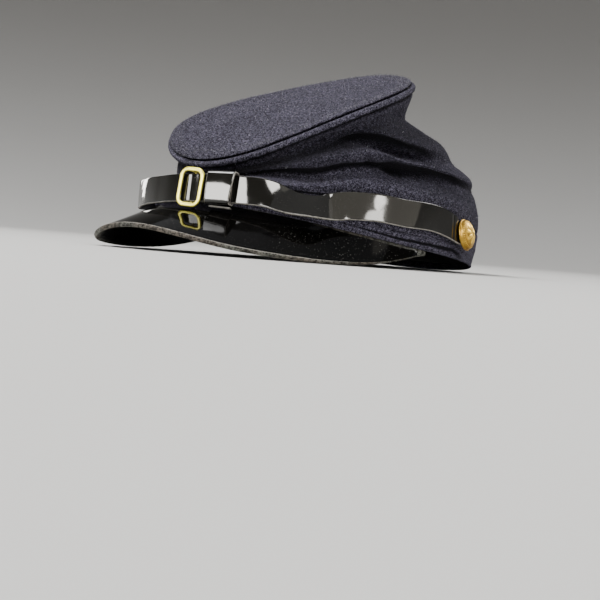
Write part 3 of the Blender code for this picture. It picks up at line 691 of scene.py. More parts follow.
def top_point(angle, inset, rise, share=1.0):
    """Centre + left * x + back * y + up * (warp + rise); the warp grows with share squared."""
    left = np.array([math.cos(TOP_ROLL), 0.0, math.sin(TOP_ROLL)])
    back = np.array([0.0, math.cos(TOP_PITCH), math.sin(TOP_PITCH)])
    up = np.cross(left, back)
    warp = share ** 2 * (-TOP_SADDLE * np.cos(2 * angle) - TOP_WAVE * np.cos(3 * angle))
    x = share * (TOP_HALF_WIDTH - inset) * np.sin(angle)
    y = -share * (TOP_HALF_LENGTH - inset) * np.cos(angle)
    return (TOP_CENTRE + x[..., None] * left + y[..., None] * back
            + (warp + rise)[..., None] * up)


print("top", 2 * TOP_HALF_WIDTH, "by", 2 * TOP_HALF_LENGTH, "mm")

# %% [markdown]
# ## The folded side
# The side stands on the band, leans in to the small top and has sunk into two long folds. A
# cloth simulation would find folds of its own, not the ones in the photograph, so the side is
# a wall whose height is shared out by a table: a row for each section round the cap, and a
# pair of numbers for the wall, each valley, the ridge, the lobe and the neck. Small creases
# that are too fine for the table are grooves laid over it.

# %% Table of folds and creases
FOLD_TABLE = (
    ("angle", "wall", "wall_out", "low_valley", "low_out", "ridge", "ridge_out",
     "high_valley", "high_out", "lobe", "lobe_out", "neck", "neck_out"),
    (0, 0.27, -0.2, 0.48, -8.5, 0.6, -8.5, 0.7, -8, 0.81, -7, 0.92, -5),
    (30, 0.22, 0, 0.44, -8, 0.6, -4.5, 0.72, -5, 0.82, -6.5, 0.92, -5.5),
    (44, 0.17, 0.8, 0.34, -7.5, 0.58, 1, 0.75, -2.5, 0.84, -5.5, 0.92, -6.5),
    (58, 0.24, 1.4, 0.455, -6.5, 0.65, 2.5, 0.8, -4.5, 0.88, -6, 0.94, -6),
    (68, 0.24, 1.8, 0.465, -7, 0.66, 3, 0.79, -12, 0.875, -8, 0.94, -6),
    (78, 0.22, 2, 0.425, -8.5, 0.545, 3, 0.68, -17.5, 0.81, -5, 0.92, -6),
    (88, 0.21, 1.6, 0.405, -9, 0.5, 2.5, 0.595, -18, 0.7, -3, 0.87, -9),
    (98, 0.2, 0.8, 0.375, -7.5, 0.46, 1, 0.545, -15, 0.66, -4.5, 0.86, -13.5),
    (110, 0.19, -0.5, 0.35, -4.5, 0.43, -1, 0.53, -10.5, 0.66, -8.6, 0.81, -19),
    (135, 0.17, -1.5, 0.32, -3.5, 0.42, -2.5, 0.53, -9, 0.67, -11.3, 0.8, -23),
    (180, 0.16, -0.5, 0.31, -4.5, 0.42, -2.5, 0.55, -12, 0.7, -8, 0.86, -19),
    (230, 0.17, -0.5, 0.33, -5, 0.44, -1.5, 0.55, -11, 0.7, -8.5, 0.85, -18),
    (262, 0.2, 0.8, 0.39, -8, 0.49, 1.5, 0.59, -13, 0.72, -4, 0.88, -11),
    (284, 0.16, 0.3, 0.38, -8, 0.57, 1, 0.72, -11, 0.84, -7, 0.92, -7.5),
    (304, 0.11, 0, 0.24, -9, 0.5, -6.5, 0.74, -7, 0.86, -7, 0.94, -6.5),
    (332, 0.18, -0.2, 0.33, -9, 0.5, -8.5, 0.66, -7, 0.8, -6.5, 0.92, -5.5),
)
SIDE_CURVE = 2.3
SIDE_LINES = 8                      # band seam, six fold lines and the top seam
MM_PER_DEGREE = 1.65                # along the side, for the width of a crease
MM_PER_LINE = 10.0

CREASES = (                         # ends as angle and fold line, half width, depth at each end
    ("from_angle", "from_line", "to_angle", "to_line", "half_width", "from_depth", "to_depth"),
    (66, 2.3, 71, 1.6, 2.4, 0.9, 0.1),
    (50, 2.75, 66, 3, 2.6, 0.1, 0.7),
    (66, 3, 78, 2.75, 2.6, 0.7, 0.1),
    (97, 1.7, 112, 1.2, 3, 0.9, 0.1),
    (100, 3.6, 128, 3.1, 3.5, 1, 0.2),
    (205, 2.6, 240, 2.2, 3.5, 0.2, 0.9),
    (150, 4.6, 185, 4.3, 4, 0.9, 0.1),
    (245, 4.7, 262, 4.1, 3, 0.2, 0.9),
    (288, 2.7, 300, 2.2, 2.6, 0.8, 0.1),
)
# Painted shade: how dark each valley is painted (the valleys are also sunk), and the painted shadow
# under the top.
FOLD_SHADES = (             # fold line, half width in lines and darkness: valleys, and under the top
    ("angle", "low_line", "low_half", "low_dark", "high_line", "high_half", "high_dark",
     "neck_line", "neck_half", "neck_dark"),
    (0, 2.4, 0.3, 0.6, 4, 0.35, 0.3, 4, 2, 0.92),
    (31, 2.55, 0.3, 1, 4, 0.4, 0.3, 4.1, 1.7, 0.88),
    (38, 2.55, 0.28, 1, 4.2, 0.4, 0.4, 4.3, 1.6, 0.8),
    (49, 2.4, 0.24, 1, 4.4, 0.4, 0.8, 4.4, 1.5, 0.76),
    (60, 2.27, 0.2, 1, 4.4, 0.42, 0.95, 4.5, 1.45, 0.74),
    (67, 2.2, 0.16, 1, 4.45, 0.45, 1, 4.8, 1.3, 0.66),
    (71, 2.2, 0.2, 1, 4.6, 0.45, 1, 5.2, 1.1, 0.58),
    (75, 2.2, 0.5, 1, 4.75, 0.45, 1, 5.5, 0.9, 0.62),
    (82, 2.3, 0.48, 1, 4.9, 0.42, 1, 5.7, 0.8, 0.6),
    (90, 2.36, 0.45, 1, 4.92, 0.32, 1, 5.7, 0.9, 0.46),
    (98, 2.42, 0.38, 1, 4.66, 0.26, 0.85, 5.5, 1, 0.44),
    (108, 2.32, 0.32, 1, 4.4, 0.24, 0.4, 5.4, 1.1, 0.4),
    (135, 2.1, 0.3, 0.4, 4, 0.35, 0.4, 5.4, 1.1, 0.36),
    (180, 2, 0.3, 0.4, 4, 0.4, 0.6, 6, 0.5, 0),
    (230, 2, 0.3, 0.4, 4, 0.4, 0.6, 6, 0.5, 0),
    (262, 2, 0.3, 0.8, 4, 0.45, 0.9, 5.9, 0.5, 0.2),
    (284, 2, 0.3, 0.8, 4, 0.4, 0.7, 5.5, 0.9, 0.4),
    (304, 2, 0.3, 0.8, 4, 0.35, 0.3, 5, 1.3, 0.4),
    (332, 2.2, 0.3, 0.6, 4, 0.35, 0.2, 4.3, 1.7, 0.6),
)
HOLLOW_DEPTH = 1.1                  # the darkest part of a valley lies this much deeper, in mm
LUMPS = (                           # waves round, waves up, phase and height in mm
    (5, 1.1, 0.4, 0.22), (9, 2.3, 1.9, 0.16), (14, 3.1, 4, 0.12), (23, 4.7, 2.6, 0.08),
    (31, 7.3, 0.9, 0.06),
)
PUCKERS = ((131, 0, 0, 0.6), (57, 0, 2, 0.4))       # the same four numbers, and sizes as shares


def waves(x, y, table):
    """A sum of sines: size * sin(first * x + second * y + phase) for each row of the table."""
    return sum(size * np.sin(first * x + second * y + phase)
               for first, second, phase, size in table)


def puckers(angle):
    """Uneven little gathers where a seam is stitched: two quick waves, as a column."""
    return waves(angle, 0.0, PUCKERS)[:, None]


def rolls(x, y, table, x_scale, y_scale):
    """Ridges or grooves along short lines: the largest of their bells at each point, in mm.

    A bell is exp(-(distance to the line / half width) ** 2), times a height that goes evenly
    from one end's value to the other's.
    """
    total = np.zeros(np.broadcast(x, y).shape)
    for x0, y0, x1, y1, half_width, first, last in table[1:]:
        x0, x1, y0, y1 = x0 * x_scale, x1 * x_scale, y0 * y_scale, y1 * y_scale
        dx, dy = x1 - x0, y1 - y0
        share = np.clip(((x - x0) * dx + (y - y0) * dy) / (dx * dx + dy * dy), 0, 1)
        gap = np.hypot(x - x0 - share * dx, y - y0 - share * dy)
        total = np.maximum(total, (first + (last - first) * share) * bell(gap, half_width))
    return total


def hollows(angle, along):
    """Painted-dark valleys and painted shade under the top, both 0 on open cloth: exp(-(lines off
    the middle / half width) ** 4).
    """
    values = round_columns(np.degrees(angle), FOLD_SHADES)[:, None]
    low, high, neck = (
        values[..., k + 2] * np.exp(-((along - values[..., k]) / values[..., k + 1]) ** 4)
        for k in (0, 3, 6))
    return np.clip(np.maximum(low, high), 0, 1), np.clip(neck, 0, 1)


# %% The side's surface
def side_surface(angle, along):
    """Foot plus share of the way to the head, leaning in by share ** 2.3, pushed by the folds."""
    folds = round_columns(np.degrees(angle), FOLD_TABLE)
    count = len(angle)
    shares = np.concatenate([np.zeros((count, 1)), folds[:, 0::2], np.ones((count, 1))], axis=1)
    shifts = np.concatenate([np.zeros((count, 1)), folds[:, 1::2], np.zeros((count, 1))], axis=1)
    lines = np.stack([shares, shifts], axis=-1).transpose(1, 0, 2)
    curve = smooth_columns(along, np.arange(float(SIDE_LINES)), lines.reshape(SIDE_LINES, -1))
    curve = curve.reshape(len(along), count, 2).transpose(1, 0, 2)
    share, shift = curve[..., 0:1], curve[..., 1:2]
    foot = rim_point(angle, 0.0, seam_height(angle) + SEAT_GAP / 2)[:, None]
    head = top_point(angle, TOP_INSET, np.full(count, HEAD_DROP))[:, None]
    level = foot[..., :2] + (head[..., :2] - foot[..., :2]) * np.clip(share, 0, None) ** SIDE_CURVE
    height = foot[..., 2:] + (head[..., 2:] - foot[..., 2:]) * share
    return np.concatenate([level, height], axis=-1) + shift * rim_normal(angle)[:, None]


SIDE_ROUND = 400
SIDE_OUTER = 128
SIDE_INNER = 44
SEAM_PULL = 0.7                     # the cloth turns in at its seams by this much, in mm
FREE_FROM = (0.5, 0.4)              # fold lines from the band and the top where relief is full
# The pull under the welt and at the foot also sets the painted shade there.
WELT_SHADE, WELT_PUCKER = 1.7, 0.35     # how far the pull under the welt reaches, in mm
WELT_PULL = 1.6                     # and how much stronger than over the band it is
FOOT_LINES, FOOT_SHADE_LINES = 0.12, 0.08       # reach over the band of the pull and its shade
CREASE_SHADE, SEAM_SHADE = 0.35, 0.5


def add_side():
    """Outer surface with lumps, creases and hollows, and a plain inner surface one cloth in."""
    angle = round_angles(SIDE_ROUND)
    top_line = SIDE_LINES - 1.0
    along = np.linspace(0.0, top_line, SIDE_OUTER)
    outer = side_surface(angle, along)
    away = grid_normals(outer, True)
    free = (np.clip(along / FREE_FROM[0], 0, 1)
            * np.clip((top_line - along) / FREE_FROM[1], 0, 1))
    degrees = np.degrees(angle)[:, None] * MM_PER_DEGREE
    groove = rolls(degrees, along[None] * MM_PER_LINE, CREASES, MM_PER_DEGREE, MM_PER_LINE)
    # painted shade of the valleys, which also sinks them below, and the painted shadow under the
    # top
    painted_shade, shade = hollows(angle, along[None])
    relief = waves(angle[:, None], along[None], LUMPS) - groove - HOLLOW_DEPTH * painted_shade
    steps = np.linalg.norm(np.diff(outer, axis=1), axis=2)
    from_top = np.cumsum(np.pad(steps, ((0, 0), (0, 1)))[:, ::-1], axis=1)[:, ::-1]
    under_welt = bell(from_top, WELT_SHADE + WELT_PUCKER * puckers(angle))
    pull = SEAM_PULL * (bell(along, FOOT_LINES) + WELT_PULL * under_welt)
    outer = outer + (relief * free - pull)[..., None] * away
    inner_along = np.linspace(0.0, top_line, SIDE_INNER)
    inner = side_surface(angle, inner_along)
    sunk = HOLLOW_DEPTH * hollows(angle, inner_along[None])[0][..., None]
    inner = inner - (CLOTH_THICKNESS + sunk) * grid_normals(inner, True)
    inner[:, 0] = rim_point(angle, -CLOTH_THICKNESS, outer[:, 0, 2])
    inner[:, -1] = top_point(angle, TOP_INSET + CLOTH_THICKNESS, np.full(SIDE_ROUND, HEAD_DROP))
    grid = np.concatenate([outer, inner[:, ::-1]], axis=1)
    # The mark is painted shade: valleys, the shadow under the top, creases, under the welt and at
    # the foot.
    mark = np.maximum(np.maximum(painted_shade, shade), groove * CREASE_SHADE)
    mark = np.maximum(mark, np.clip(WELT_PULL * under_welt, 0, 1))
    mark = np.maximum(mark, SEAM_SHADE * bell(along, FOOT_SHADE_LINES))
    mark = np.concatenate([mark, np.zeros((SIDE_ROUND, SIDE_INNER))], axis=1)
    return add_piece("wool_side", grid, wool, "ring", "crown_side",
                     marks={"painted_shade": mark}, sharp=75.0)


side = add_side()

# %% [markdown]
# ## The band
# The band is a double strip of the same wool. The chin strap has pressed it and the head has
# stretched it, so long shallow ridges run along it below the strap. Its lower edge is a
# turned hem, which is a round edge and not a cut one.

# %% Band with its wrinkles
BAND_ROUND = 400
BAND_UP = 40
HEM_RADIUS = 0.8
HEM_TURNS = np.radians([200.0, 225.0, 250.0, 290.0, 315.0, 340.0])
SHADE_DROP = 2.0                    # the shade of a ridge lies this far below it, in mm
BAND_FREE = (0.15, 0.06)            # shares at the top seam and the hem where relief fades
BAND_PULL, BAND_SHADE = 0.04, 0.05      # reach of the seam's pull and shade, as shares
BAND_LUMPS = 0.6                    # share of the side's lumps
RIDGE_SHADE, SHADE_FROM = 1.6, 0.1      # darkness under a ridge for each mm of it, less a little
BAND_RIDGES = (         # ends as angle and height, half width, rise at each end
    ("from_angle", "from_height", "to_angle", "to_height", "half_width", "from_rise", "to_rise"),
    (40, 3.2, 61, 1.4, 1.1, 0.3, 1.4),
    (61, 1.4, 77, 1.1, 1.1, 1.4, 1.5),
    (77, 1.1, 92, 2.4, 1.1, 1.5, 0.7),
    (56, 5.6, 74, 4.6, 1.1, 0.3, 1.4),
    (74, 4.6, 85, 5.4, 1.2, 1.4, 1.7),
    (85, 5.4, 102.5, 6.8, 1.3, 1.7, 1.3),
    (102.5, 6.8, 110, 4.3, 1.3, 1.3, 0.3),
    (70, 8.6, 84, 8.4, 1.1, 0.2, 1),
    (84, 8.4, 100, 9.8, 1.1, 1, 0.3),
    (120, 12, 150, 9, 2.4, 0.2, 0.7),
    (165, 7, 205, 8.5, 2.6, 0.6, 0.2),
    (222, 11, 250, 7, 2.2, 0.2, 0.7),
    (262, 5.5, 300, 7, 1.8, 0.9, 0.3),
    (300, 7, 318, 3, 1.8, 0.3, 0.6),
)


def add_band():
    """Cross-section: up the outside with ridges, over the top seam, down the inside, hem."""
    angle = round_angles(BAND_ROUND)
    low, high = rim_height(angle), seam_height(angle) - SEAT_GAP / 2
    share = np.linspace(0.0, 1.0, BAND_UP)[None]
    height = low[:, None] + HEM_RADIUS + (high - low - HEM_RADIUS)[:, None] * share
    across = np.degrees(angle)[:, None] * MM_PER_DEGREE
    ridge = rolls(across, height - low[:, None], BAND_RIDGES, MM_PER_DEGREE, 1.0)
    uneven = waves(angle[:, None], share * 2.0, LUMPS) * BAND_LUMPS
    free = np.clip((1 - share) / BAND_FREE[0], 0, 1) * np.clip(share / BAND_FREE[1], 0, 1)
    pull = SEAM_PULL * bell(1 - share, BAND_PULL)
    lean = rim_taper(angle)[:, None] * (1 - share)
    out = rim_normal(angle)[:, None]
    outer = rim_point(angle[:, None], 0.0, height)
    outer = outer + ((ridge + uneven) * free - pull - lean)[..., None] * out
    hem = rim_point(angle[:, None], 0.0, low[:, None] + HEM_RADIUS * (1 + np.sin(HEM_TURNS)))
    inward = CLOTH_THICKNESS / 2 * (np.cos(HEM_TURNS) - 1)
    hem = hem + (inward - rim_taper(angle)[:, None])[..., None] * out
    inner_share = np.linspace(1.0, 0.0, 8)[None]
    inner_height = low[:, None] + HEM_RADIUS + (high - low - HEM_RADIUS)[:, None] * inner_share
    inner = rim_point(angle[:, None], 0.0, inner_height)
    sunk = CLOTH_THICKNESS + rim_taper(angle)[:, None] * (1 - inner_share)
    inner = inner - sunk[..., None] * out
    grid = np.concatenate([outer, inner, hem], axis=1)
    # The mark is painted shade: below each ridge, and along the top seam.
    over = height - low[:, None] + SHADE_DROP
    beside = rolls(across, over, BAND_RIDGES, MM_PER_DEGREE, 1.0)
    mark = np.clip(RIDGE_SHADE * (beside - ridge) - SHADE_FROM, 0, 1)
    mark = mark + SEAM_SHADE * bell(1 - share, BAND_SHADE)
    mark = np.concatenate([mark, np.zeros((BAND_ROUND, grid.shape[1] - BAND_UP))], axis=1)
    return add_piece("wool_band", grid, band_wool, "ring", "band",
                     marks={"painted_shade": mark}, sharp=75.0)


add_band()

# %% [markdown]
# ## The round top and its welt
# The top is wool drawn over a board. Its edge rounds over a soft shoulder, and below the
# shoulder runs the welt, a thin roll of wool caught in the seam. Both are turned profiles that
# follow the warped edge, and both keep the small swellings of stuffed cloth.

# %% Top
TOP_ROUND = 400
TOP_RINGS, SHOULDER_RINGS = 46, 15
TOP_POLE = 0.02                     # share of the radius where the first ring lies
TOP_SHOULDER = 0.93
TOP_TUCK = np.array([(1.0, 0.95), (0.997, 0.62), (0.988, 0.30), (0.972, 0.06)])  # share, rise
TOP_LOW_SHARES = (0.95, 0.8, 0.4, 0.03)
SWELL_FADE = 0.06                   # share of the radius over which the swells fade at the edge
TUCK_RISE, TUCK_DEPTH = 0.25, 0.55      # the seam's shade starts so far up and takes so long
TUCK_PUCKER, TUCK_SHADE = 0.15, 0.85    # its unevenness, and how dark it gets
TOP_SWELLS = (                      # waves per mm to the left and to the front, phase, height
    (0.045, 0.02, 0.5, 0.35), (-0.03, 0.07, 2, 0.22), (0.12, 0.05, 4.1, 0.12),
    (0.06, -0.15, 1.2, 0.1), (0.21, 0.17, 3, 0.06),
)


def top_profile():
    """Shares of the radius and the rise over the seam: flat puff, then a quarter ellipse."""
    flat = np.linspace(TOP_POLE, TOP_SHOULDER, TOP_RINGS)
    turn = np.radians(np.linspace(0.0, 90.0, SHOULDER_RINGS))[1:]
    shoulder = TOP_SHOULDER + (1 - TOP_SHOULDER) * np.sin(turn)
    shares = np.concatenate([flat, shoulder])
    past = np.clip((shares - TOP_SHOULDER) / (1 - TOP_SHOULDER), 0, 1)
    rise = (TOP_TUCK[0, 1] + (TOP_BOARD - TOP_TUCK[0, 1]) * np.sqrt(np.clip(1 - past ** 2, 0, 1))
            + TOP_PUFF * (1 - shares ** 2))
    return np.append(shares, TOP_TUCK[1:, 0]), np.append(rise, TOP_TUCK[1:, 1])


def add_top():
    """Rings of the profile with faint swells, closed under the board."""
    angle = round_angles(TOP_ROUND)
    shares, rise = top_profile()
    shares = np.concatenate([shares, TOP_LOW_SHARES])
    rise = np.concatenate([rise, np.zeros(len(TOP_LOW_SHARES))]) + SEAT_GAP / 2
    upper = np.arange(len(shares)) < len(shares) - len(TOP_LOW_SHARES)
    x = TOP_HALF_WIDTH * np.sin(angle)[:, None] * shares[None]
    y = TOP_HALF_LENGTH * np.cos(angle)[:, None] * shares[None]
    swell = waves(x, y, TOP_SWELLS) * upper * np.clip((1 - shares[None]) / SWELL_FADE, 0, 1)
    lift = rise[None] + swell
    grid = top_point(np.broadcast_to(angle[:, None], lift.shape), TOP_INSET, lift, shares[None])
    # Painted shade where the top tucks down into the seam.
    shade_from = TOP_TUCK[0, 1] + TUCK_RISE + TUCK_PUCKER * puckers(angle)
    tucked = np.clip((shade_from - lift) / TUCK_DEPTH, 0, 1)
    return add_piece("wool_top", grid, top_wool, "turned", "crown_top",
                     marks={"painted_shade": TUCK_SHADE * tucked}, sharp=70.0)


top = add_top()

# %% Welt
WELT_ROUND = 640
WELT_SIDES = 20
WELT_SWELLS = ((97, 0, 0, 0.035), (41, 0, 1, 0.03))     # waves round, 0, phase and share
LIP_TOP, LIP_SIDE = 0.94, 0.50      # the seam's dark starts here above and below the roll
LIP_PUCKER, LIP_WIDTH = 0.06, 0.14      # its unevenness, and how soft its border is


def add_welt():
    """A circle of radius 1.9 carried round the edge, pinched a little by each stitch."""
    angle = round_angles(WELT_ROUND)
    turn = round_angles(WELT_SIDES)
    radius = WELT_RADIUS * (1 + waves(angle, 0.0, WELT_SWELLS))[:, None]
    inset = TOP_INSET - radius * np.cos(turn)[None]
    rise = radius * np.sin(turn)[None] - WELT_RADIUS - SEAT_GAP / 2
    rise = np.clip(rise, -2 * WELT_RADIUS - SEAT_GAP / 2, -SEAT_GAP / 2)
    grid = top_point(np.broadcast_to(angle[:, None], inset.shape), inset, rise)
    # The mark is painted shade in the seams above and below the roll.
    lip = np.where(np.sin(turn) > 0, LIP_TOP, LIP_SIDE)[None]
    past = np.abs(np.sin(turn))[None] - lip + LIP_PUCKER * puckers(angle)
    seams = np.clip(past / LIP_WIDTH, 0, 1)
    return add_piece("wool_welt", grid, roll_wool, "ring", "crown_welt",
                     marks={"painted_shade": seams}, sharp=80.0)


add_welt()

# %% [markdown]
# ## Loose fibres
# Against the light, felted wool has a thin halo of fibres that have worked loose, and some pale
# lint lies on it. Hair particles are not a mesh and would be lost in an export, so each fibre
# here is a small closed cone, bent over once and rooted in the cloth. On the top most of them
# stand where it is rubbed, round its edge. They are thinner than a pixel, so they only soften
# the outline and the grain.

# %% Nap
NAP_COLOUR = colour(0.30, 0.29, 0.33)
NAP_DARK = colour(0.06, 0.055, 0.08)
SIDE_NAP_COLOUR = colour(0.15, 0.14, 0.20)
SIDE_NAP_DARK = colour(0.02, 0.018, 0.03)
LINT_DARK = colour(0.28, 0.28, 0.32)
LINT_PALE = colour(0.66, 0.66, 0.70)
NAP_SHADES = 700.0                  # changes of colour a metre
FIBRE_SHORTEST, FIBRE_LONGEST = 0.5, 1.9            # in mm, like the next two
FIBRE_ROOT = 0.25
RUBBED_WIDTH = 7.0                  # of the ring round the top that is rubbed the most
TOP_MIDDLE = TOP_CENTRE + np.array([0.0, 7.5, 4.2])     # where the rest's tilt takes the centre
OUTWARD = np.array([1.0, 1.0, 3.0])     # weights that tell the outer faces from the inner ones
FIBRE_LEAN, FIBRE_BEND = 0.55, 0.8      # how far chance turns the fibre's foot and its tip
FIBRE_BIAS = 2.5                    # short fibres are the most common
FIBRE_KNEE = 0.8                    # thickness of its bend as a share of its foot's
FIBRE_SIDES = 3
FIBRE_POINTS = 2 * FIBRE_SIDES + 1
FIBRE_FACES = ((0, 1, 4, 3), (1, 2, 5, 4), (2, 0, 3, 5))
FIBRE_ENDS = ((2, 1, 0), (3, 4, 6), (4, 5, 6), (5, 3, 6))


def nap_finish(name, dark, pale):
    """Loose fibres: matt, and darker or paler from one to the next."""
    nap = Finish(name)
    nap.set(Base__Color=nap.mix(nap.step(nap.noise(NAP_SHADES, 1.0), 0.35, 0.65), dark, pale),
            Roughness=0.9, Specular__IOR__Level=0.05)
    return nap.material


def read(items, key, kind, width=1):
    """One property of all the items of a mesh, as an array."""
    values = np.empty(len(items) * width, kind)
    items.foreach_get(key, values)
    return values.reshape(len(items), width) if width > 1 else values


def add_nap(name, under, count, edge_share, radius, finish, seed, replaced):
    """Cones at random places of a piece's outward quads: root + d * length, bent half-way.

    The root is a random mix of a face's corners, d is its normal plus a random lean, and the
    faces near the top's edge get the given share of the fibres.
    """
    chance = np.random.default_rng(seed)
    mesh = under.data
    points = read(mesh.vertices, "co", np.float32, 3) / MM
    normals = read(mesh.polygons, "normal", np.float32, 3)
    centres = read(mesh.polygons, "center", np.float32, 3) / MM - REST_PLACE
    first = read(mesh.polygons, "loop_start", np.int32)
    corners = read(mesh.loops, "vertex_index", np.int32)
    open_face = (read(mesh.polygons, "loop_total", np.int32) == 4) & (
        np.sum(centres * normals * OUTWARD, axis=1) > 0)
    area = read(mesh.polygons, "area", np.float32) * open_face
    from_middle = np.linalg.norm(centres - TOP_MIDDLE, axis=1)
    near_edge = area * (from_middle > TOP_HALF_WIDTH - RUBBED_WIDTH)
    odds = area / area.sum() * (1 - edge_share) + near_edge / near_edge.sum() * edge_share
    pick = chance.choice(len(odds), count, p=odds / odds.sum())
    face = points[corners[first[pick][:, None] + np.arange(4)]]
    u, v = chance.random((2, count, 1))
    root = ((face[:, 0] * (1 - u) + face[:, 1] * u) * (1 - v)
            + (face[:, 3] * (1 - u) + face[:, 2] * u) * v)
    lean = unit(normals[pick] + FIBRE_LEAN * chance.normal(size=(count, 3)))
    bend = unit(lean + FIBRE_BEND * chance.normal(size=(count, 3)))
    length = (FIBRE_SHORTEST + (FIBRE_LONGEST - FIBRE_SHORTEST)
              * chance.random((count, 1)) ** FIBRE_BIAS)
    across = unit(np.cross(lean, chance.normal(size=(count, 3))))
    beside = np.cross(lean, across)
    turn = round_angles(FIBRE_SIDES)[None, :, None]
    ring = radius * (np.cos(turn) * across[:, None] + np.sin(turn) * beside[:, None])
    base = (root - FIBRE_ROOT * normals[pick])[:, None] + ring
    knee = root + lean * length / 2
    fibres = np.concatenate([base, knee[:, None] + FIBRE_KNEE * ring,
                             (knee + bend * length / 2)[:, None]], axis=1)
    offset = FIBRE_POINTS * np.arange(count)[:, None, None]
    quads = (np.array(FIBRE_FACES)[None] + offset).reshape(-1, 4)
    ends = (np.array(FIBRE_ENDS)[None] + offset).reshape(-1, 3)
    nap = bpy.data.meshes.new(name)
    nap.from_pydata((fibres.reshape(-1, 3) * MM).tolist(), [], quads.tolist() + ends.tolist())
    nap.shade_smooth()
    print(name, "fibres", count)
    return link_piece(name, nap, finish, replaced)


loose = nap_finish("wool_loose_fibres", NAP_DARK, NAP_COLOUR)
deep_loose = nap_finish("wool_loose_fibres_deep", SIDE_NAP_DARK, SIDE_NAP_COLOUR)
lint = nap_finish("pale_lint", LINT_DARK, LINT_PALE)
for name, under, count, edge_share, radius, finish, seed, replaced in (
        ("wool_nap_top", top, 12000, 0.6, 0.042, loose, 5, "crown_top"),
        ("wool_nap_side", side, 9000, 0.0, 0.042, deep_loose, 6, "crown_side"),
        ("wool_lint_top", top, 560, 0.5, 0.068, lint, 7, "crown_top"),
        ("wool_lint_side", side, 260, 0.0, 0.068, lint, 8, "crown_side")):
    add_nap(name, under, count, edge_share, radius, finish, seed, replaced)

# %% [markdown]
# ## The sweatband
# A strip of thin leather lines the band. Its lower edge shows under the rim and covers the
# inner edge of the peak, so at the front it reaches further down than the wool.

# %% Sweatband
SWEATBAND_THICKNESS = 1.2
SWEATBAND_MARGIN = 1.2
SWEATBAND_HEM = 4.0
PEAK_THICKNESS = 2.7
PEAK_END_ANGLE = math.radians(87.3)
SWEATBAND_ROUND = 320
SWEATBAND_EASE = 6                  # how quickly its edge comes down at the ends of the peak


def add_sweatband():
    """Two faces between the lower and the upper edge, with rounded edges."""
    angle = round_angles(SWEATBAND_ROUND)
    over_peak = np.clip((np.cos(angle) - math.cos(PEAK_END_ANGLE)) * SWEATBAND_EASE, 0, 1)
    hem = SEAT_GAP + (SWEATBAND_HEM - SEAT_GAP) * np.clip(-np.cos(angle), 0, 1)
    low = rim_height(angle) + hem * (1 - over_peak) - (PEAK_THICKNESS + 2 * SEAT_GAP) * over_peak
    high = seam_height(angle) - SWEATBAND_MARGIN
    turn = np.radians(np.arange(0.0, 181.0, 30.0))
    half = SWEATBAND_THICKNESS / 2
    middle = CLOTH_THICKNESS + SEAT_GAP + half
    off = np.concatenate([-middle + half * np.cos(turn), -middle - half * np.cos(turn)])[None]
    rim = np.repeat([1.0, 0.0], len(turn))[None]
    bulge = np.concatenate([half * (np.sin(turn) - 1), -half * (np.sin(turn) - 1)])[None]
    height = high[:, None] * rim + low[:, None] * (1 - rim) + bulge
    share = (height - rim_height(angle)[:, None]) / BAND_HEIGHT
    lean = rim_taper(angle)[:, None] * np.clip(1 - share, 0, 1)
    grid = rim_point(angle[:, None], 0.0, height)
    grid = grid + (off - lean)[..., None] * rim_normal(angle)[:, None]
    return add_piece("leather_sweatband", grid, hide, "ring", "sweatband")


add_sweatband()

# %% [markdown]
# ## The peak
# The peak is one piece of patent leather, bent down at its sides. Bending a flat sheet in code
# is possible, but a table of the outer edge's width and drop is easier to set against the
# photograph. The cut edge is nearly three millimetres of bare leather under a thin lip of
# lacquer, and at both tips the bare leather is all that shows.

# %% Peak
PEAK_TUCK = 1.5
PEAK_TABLE = (
    ("share", "width", "drop"),
    (0, 40.1, 18.6),
    (0.33, 32.4, 23.4),
    (0.62, 14, 18.8),
    (0.85, 4.6, 9.8),
    (0.94, 2.6, 4.6),
    (1, 1.6, 0.9),
)
PEAK_ROUND = 360
PEAK_ACROSS = 30
PEAK_FACE_END = 1 - 1.2 / 40.0      # share of the width where the face ends and the lip starts
PEAK_FACE_POWER = 1.5               # the face's points crowd towards the rim
PEAK_BARE_TIP = 8                   # stations of bare leather at each end
PEAK_BARE_FROM = (34.0, 52.0)       # angles over which the lacquer along the rim wears away
PEAK_BARE_WIDTH = 0.8               # in mm
PEAK_BARE_MARK = (1.2, 0.40)        # how strong the wear is at the rim, and its limit
LIP_FADE = (1.0, 6.0)               # degrees from the tips over which the light lip comes up
PEAK_LIP = (                        # past the outer edge, under the top face, cut and lip marks
    ("past", "under", "cut", "lip"),
    (-0.95, 0, 0, 0), (-0.9, 0.01, 1, 1), (-0.65, 0.05, 1, 1),
    (-0.52, 0.1, 1, 0), (-0.3, 0.26, 1, 0), (-0.08, 0.5, 1, 0),
    (0, 0.85, 1, 0), (0.03, 1.4, 1, 0), (0, 2, 1, 0),
    (-0.1, 2.35, 1, 0), (-0.35, 2.62, 1, 0), (-0.8, 2.7, 0.8, 0),
)


def peak_edge(angle):
    """Width and drop of the outer edge, mirrored about the front."""
    rows = np.array(PEAK_TABLE[1:], float)
    mirror = rows[1:][::-1] * np.array([-1.0, 1.0, 1.0])
    rows = np.vstack([mirror, rows])
    both = smooth_columns(angle / PEAK_END_ANGLE, rows[:, 0], rows[:, 1:])
    return both[..., 0], both[..., 1]


def peak_surface(angle, across):
    """Start on the rim, go out by width * across and down by drop * across."""
    width, drop = peak_edge(angle)
    start = rim_point(angle, 0.0, rim_height(angle) - SEAT_GAP)[:, None]
    out = (width[:, None] * across)[..., None] * rim_normal(angle)[:, None]
    down = drop[:, None] * np.clip(across, 0, None)
    return start + out - down[..., None] * UP


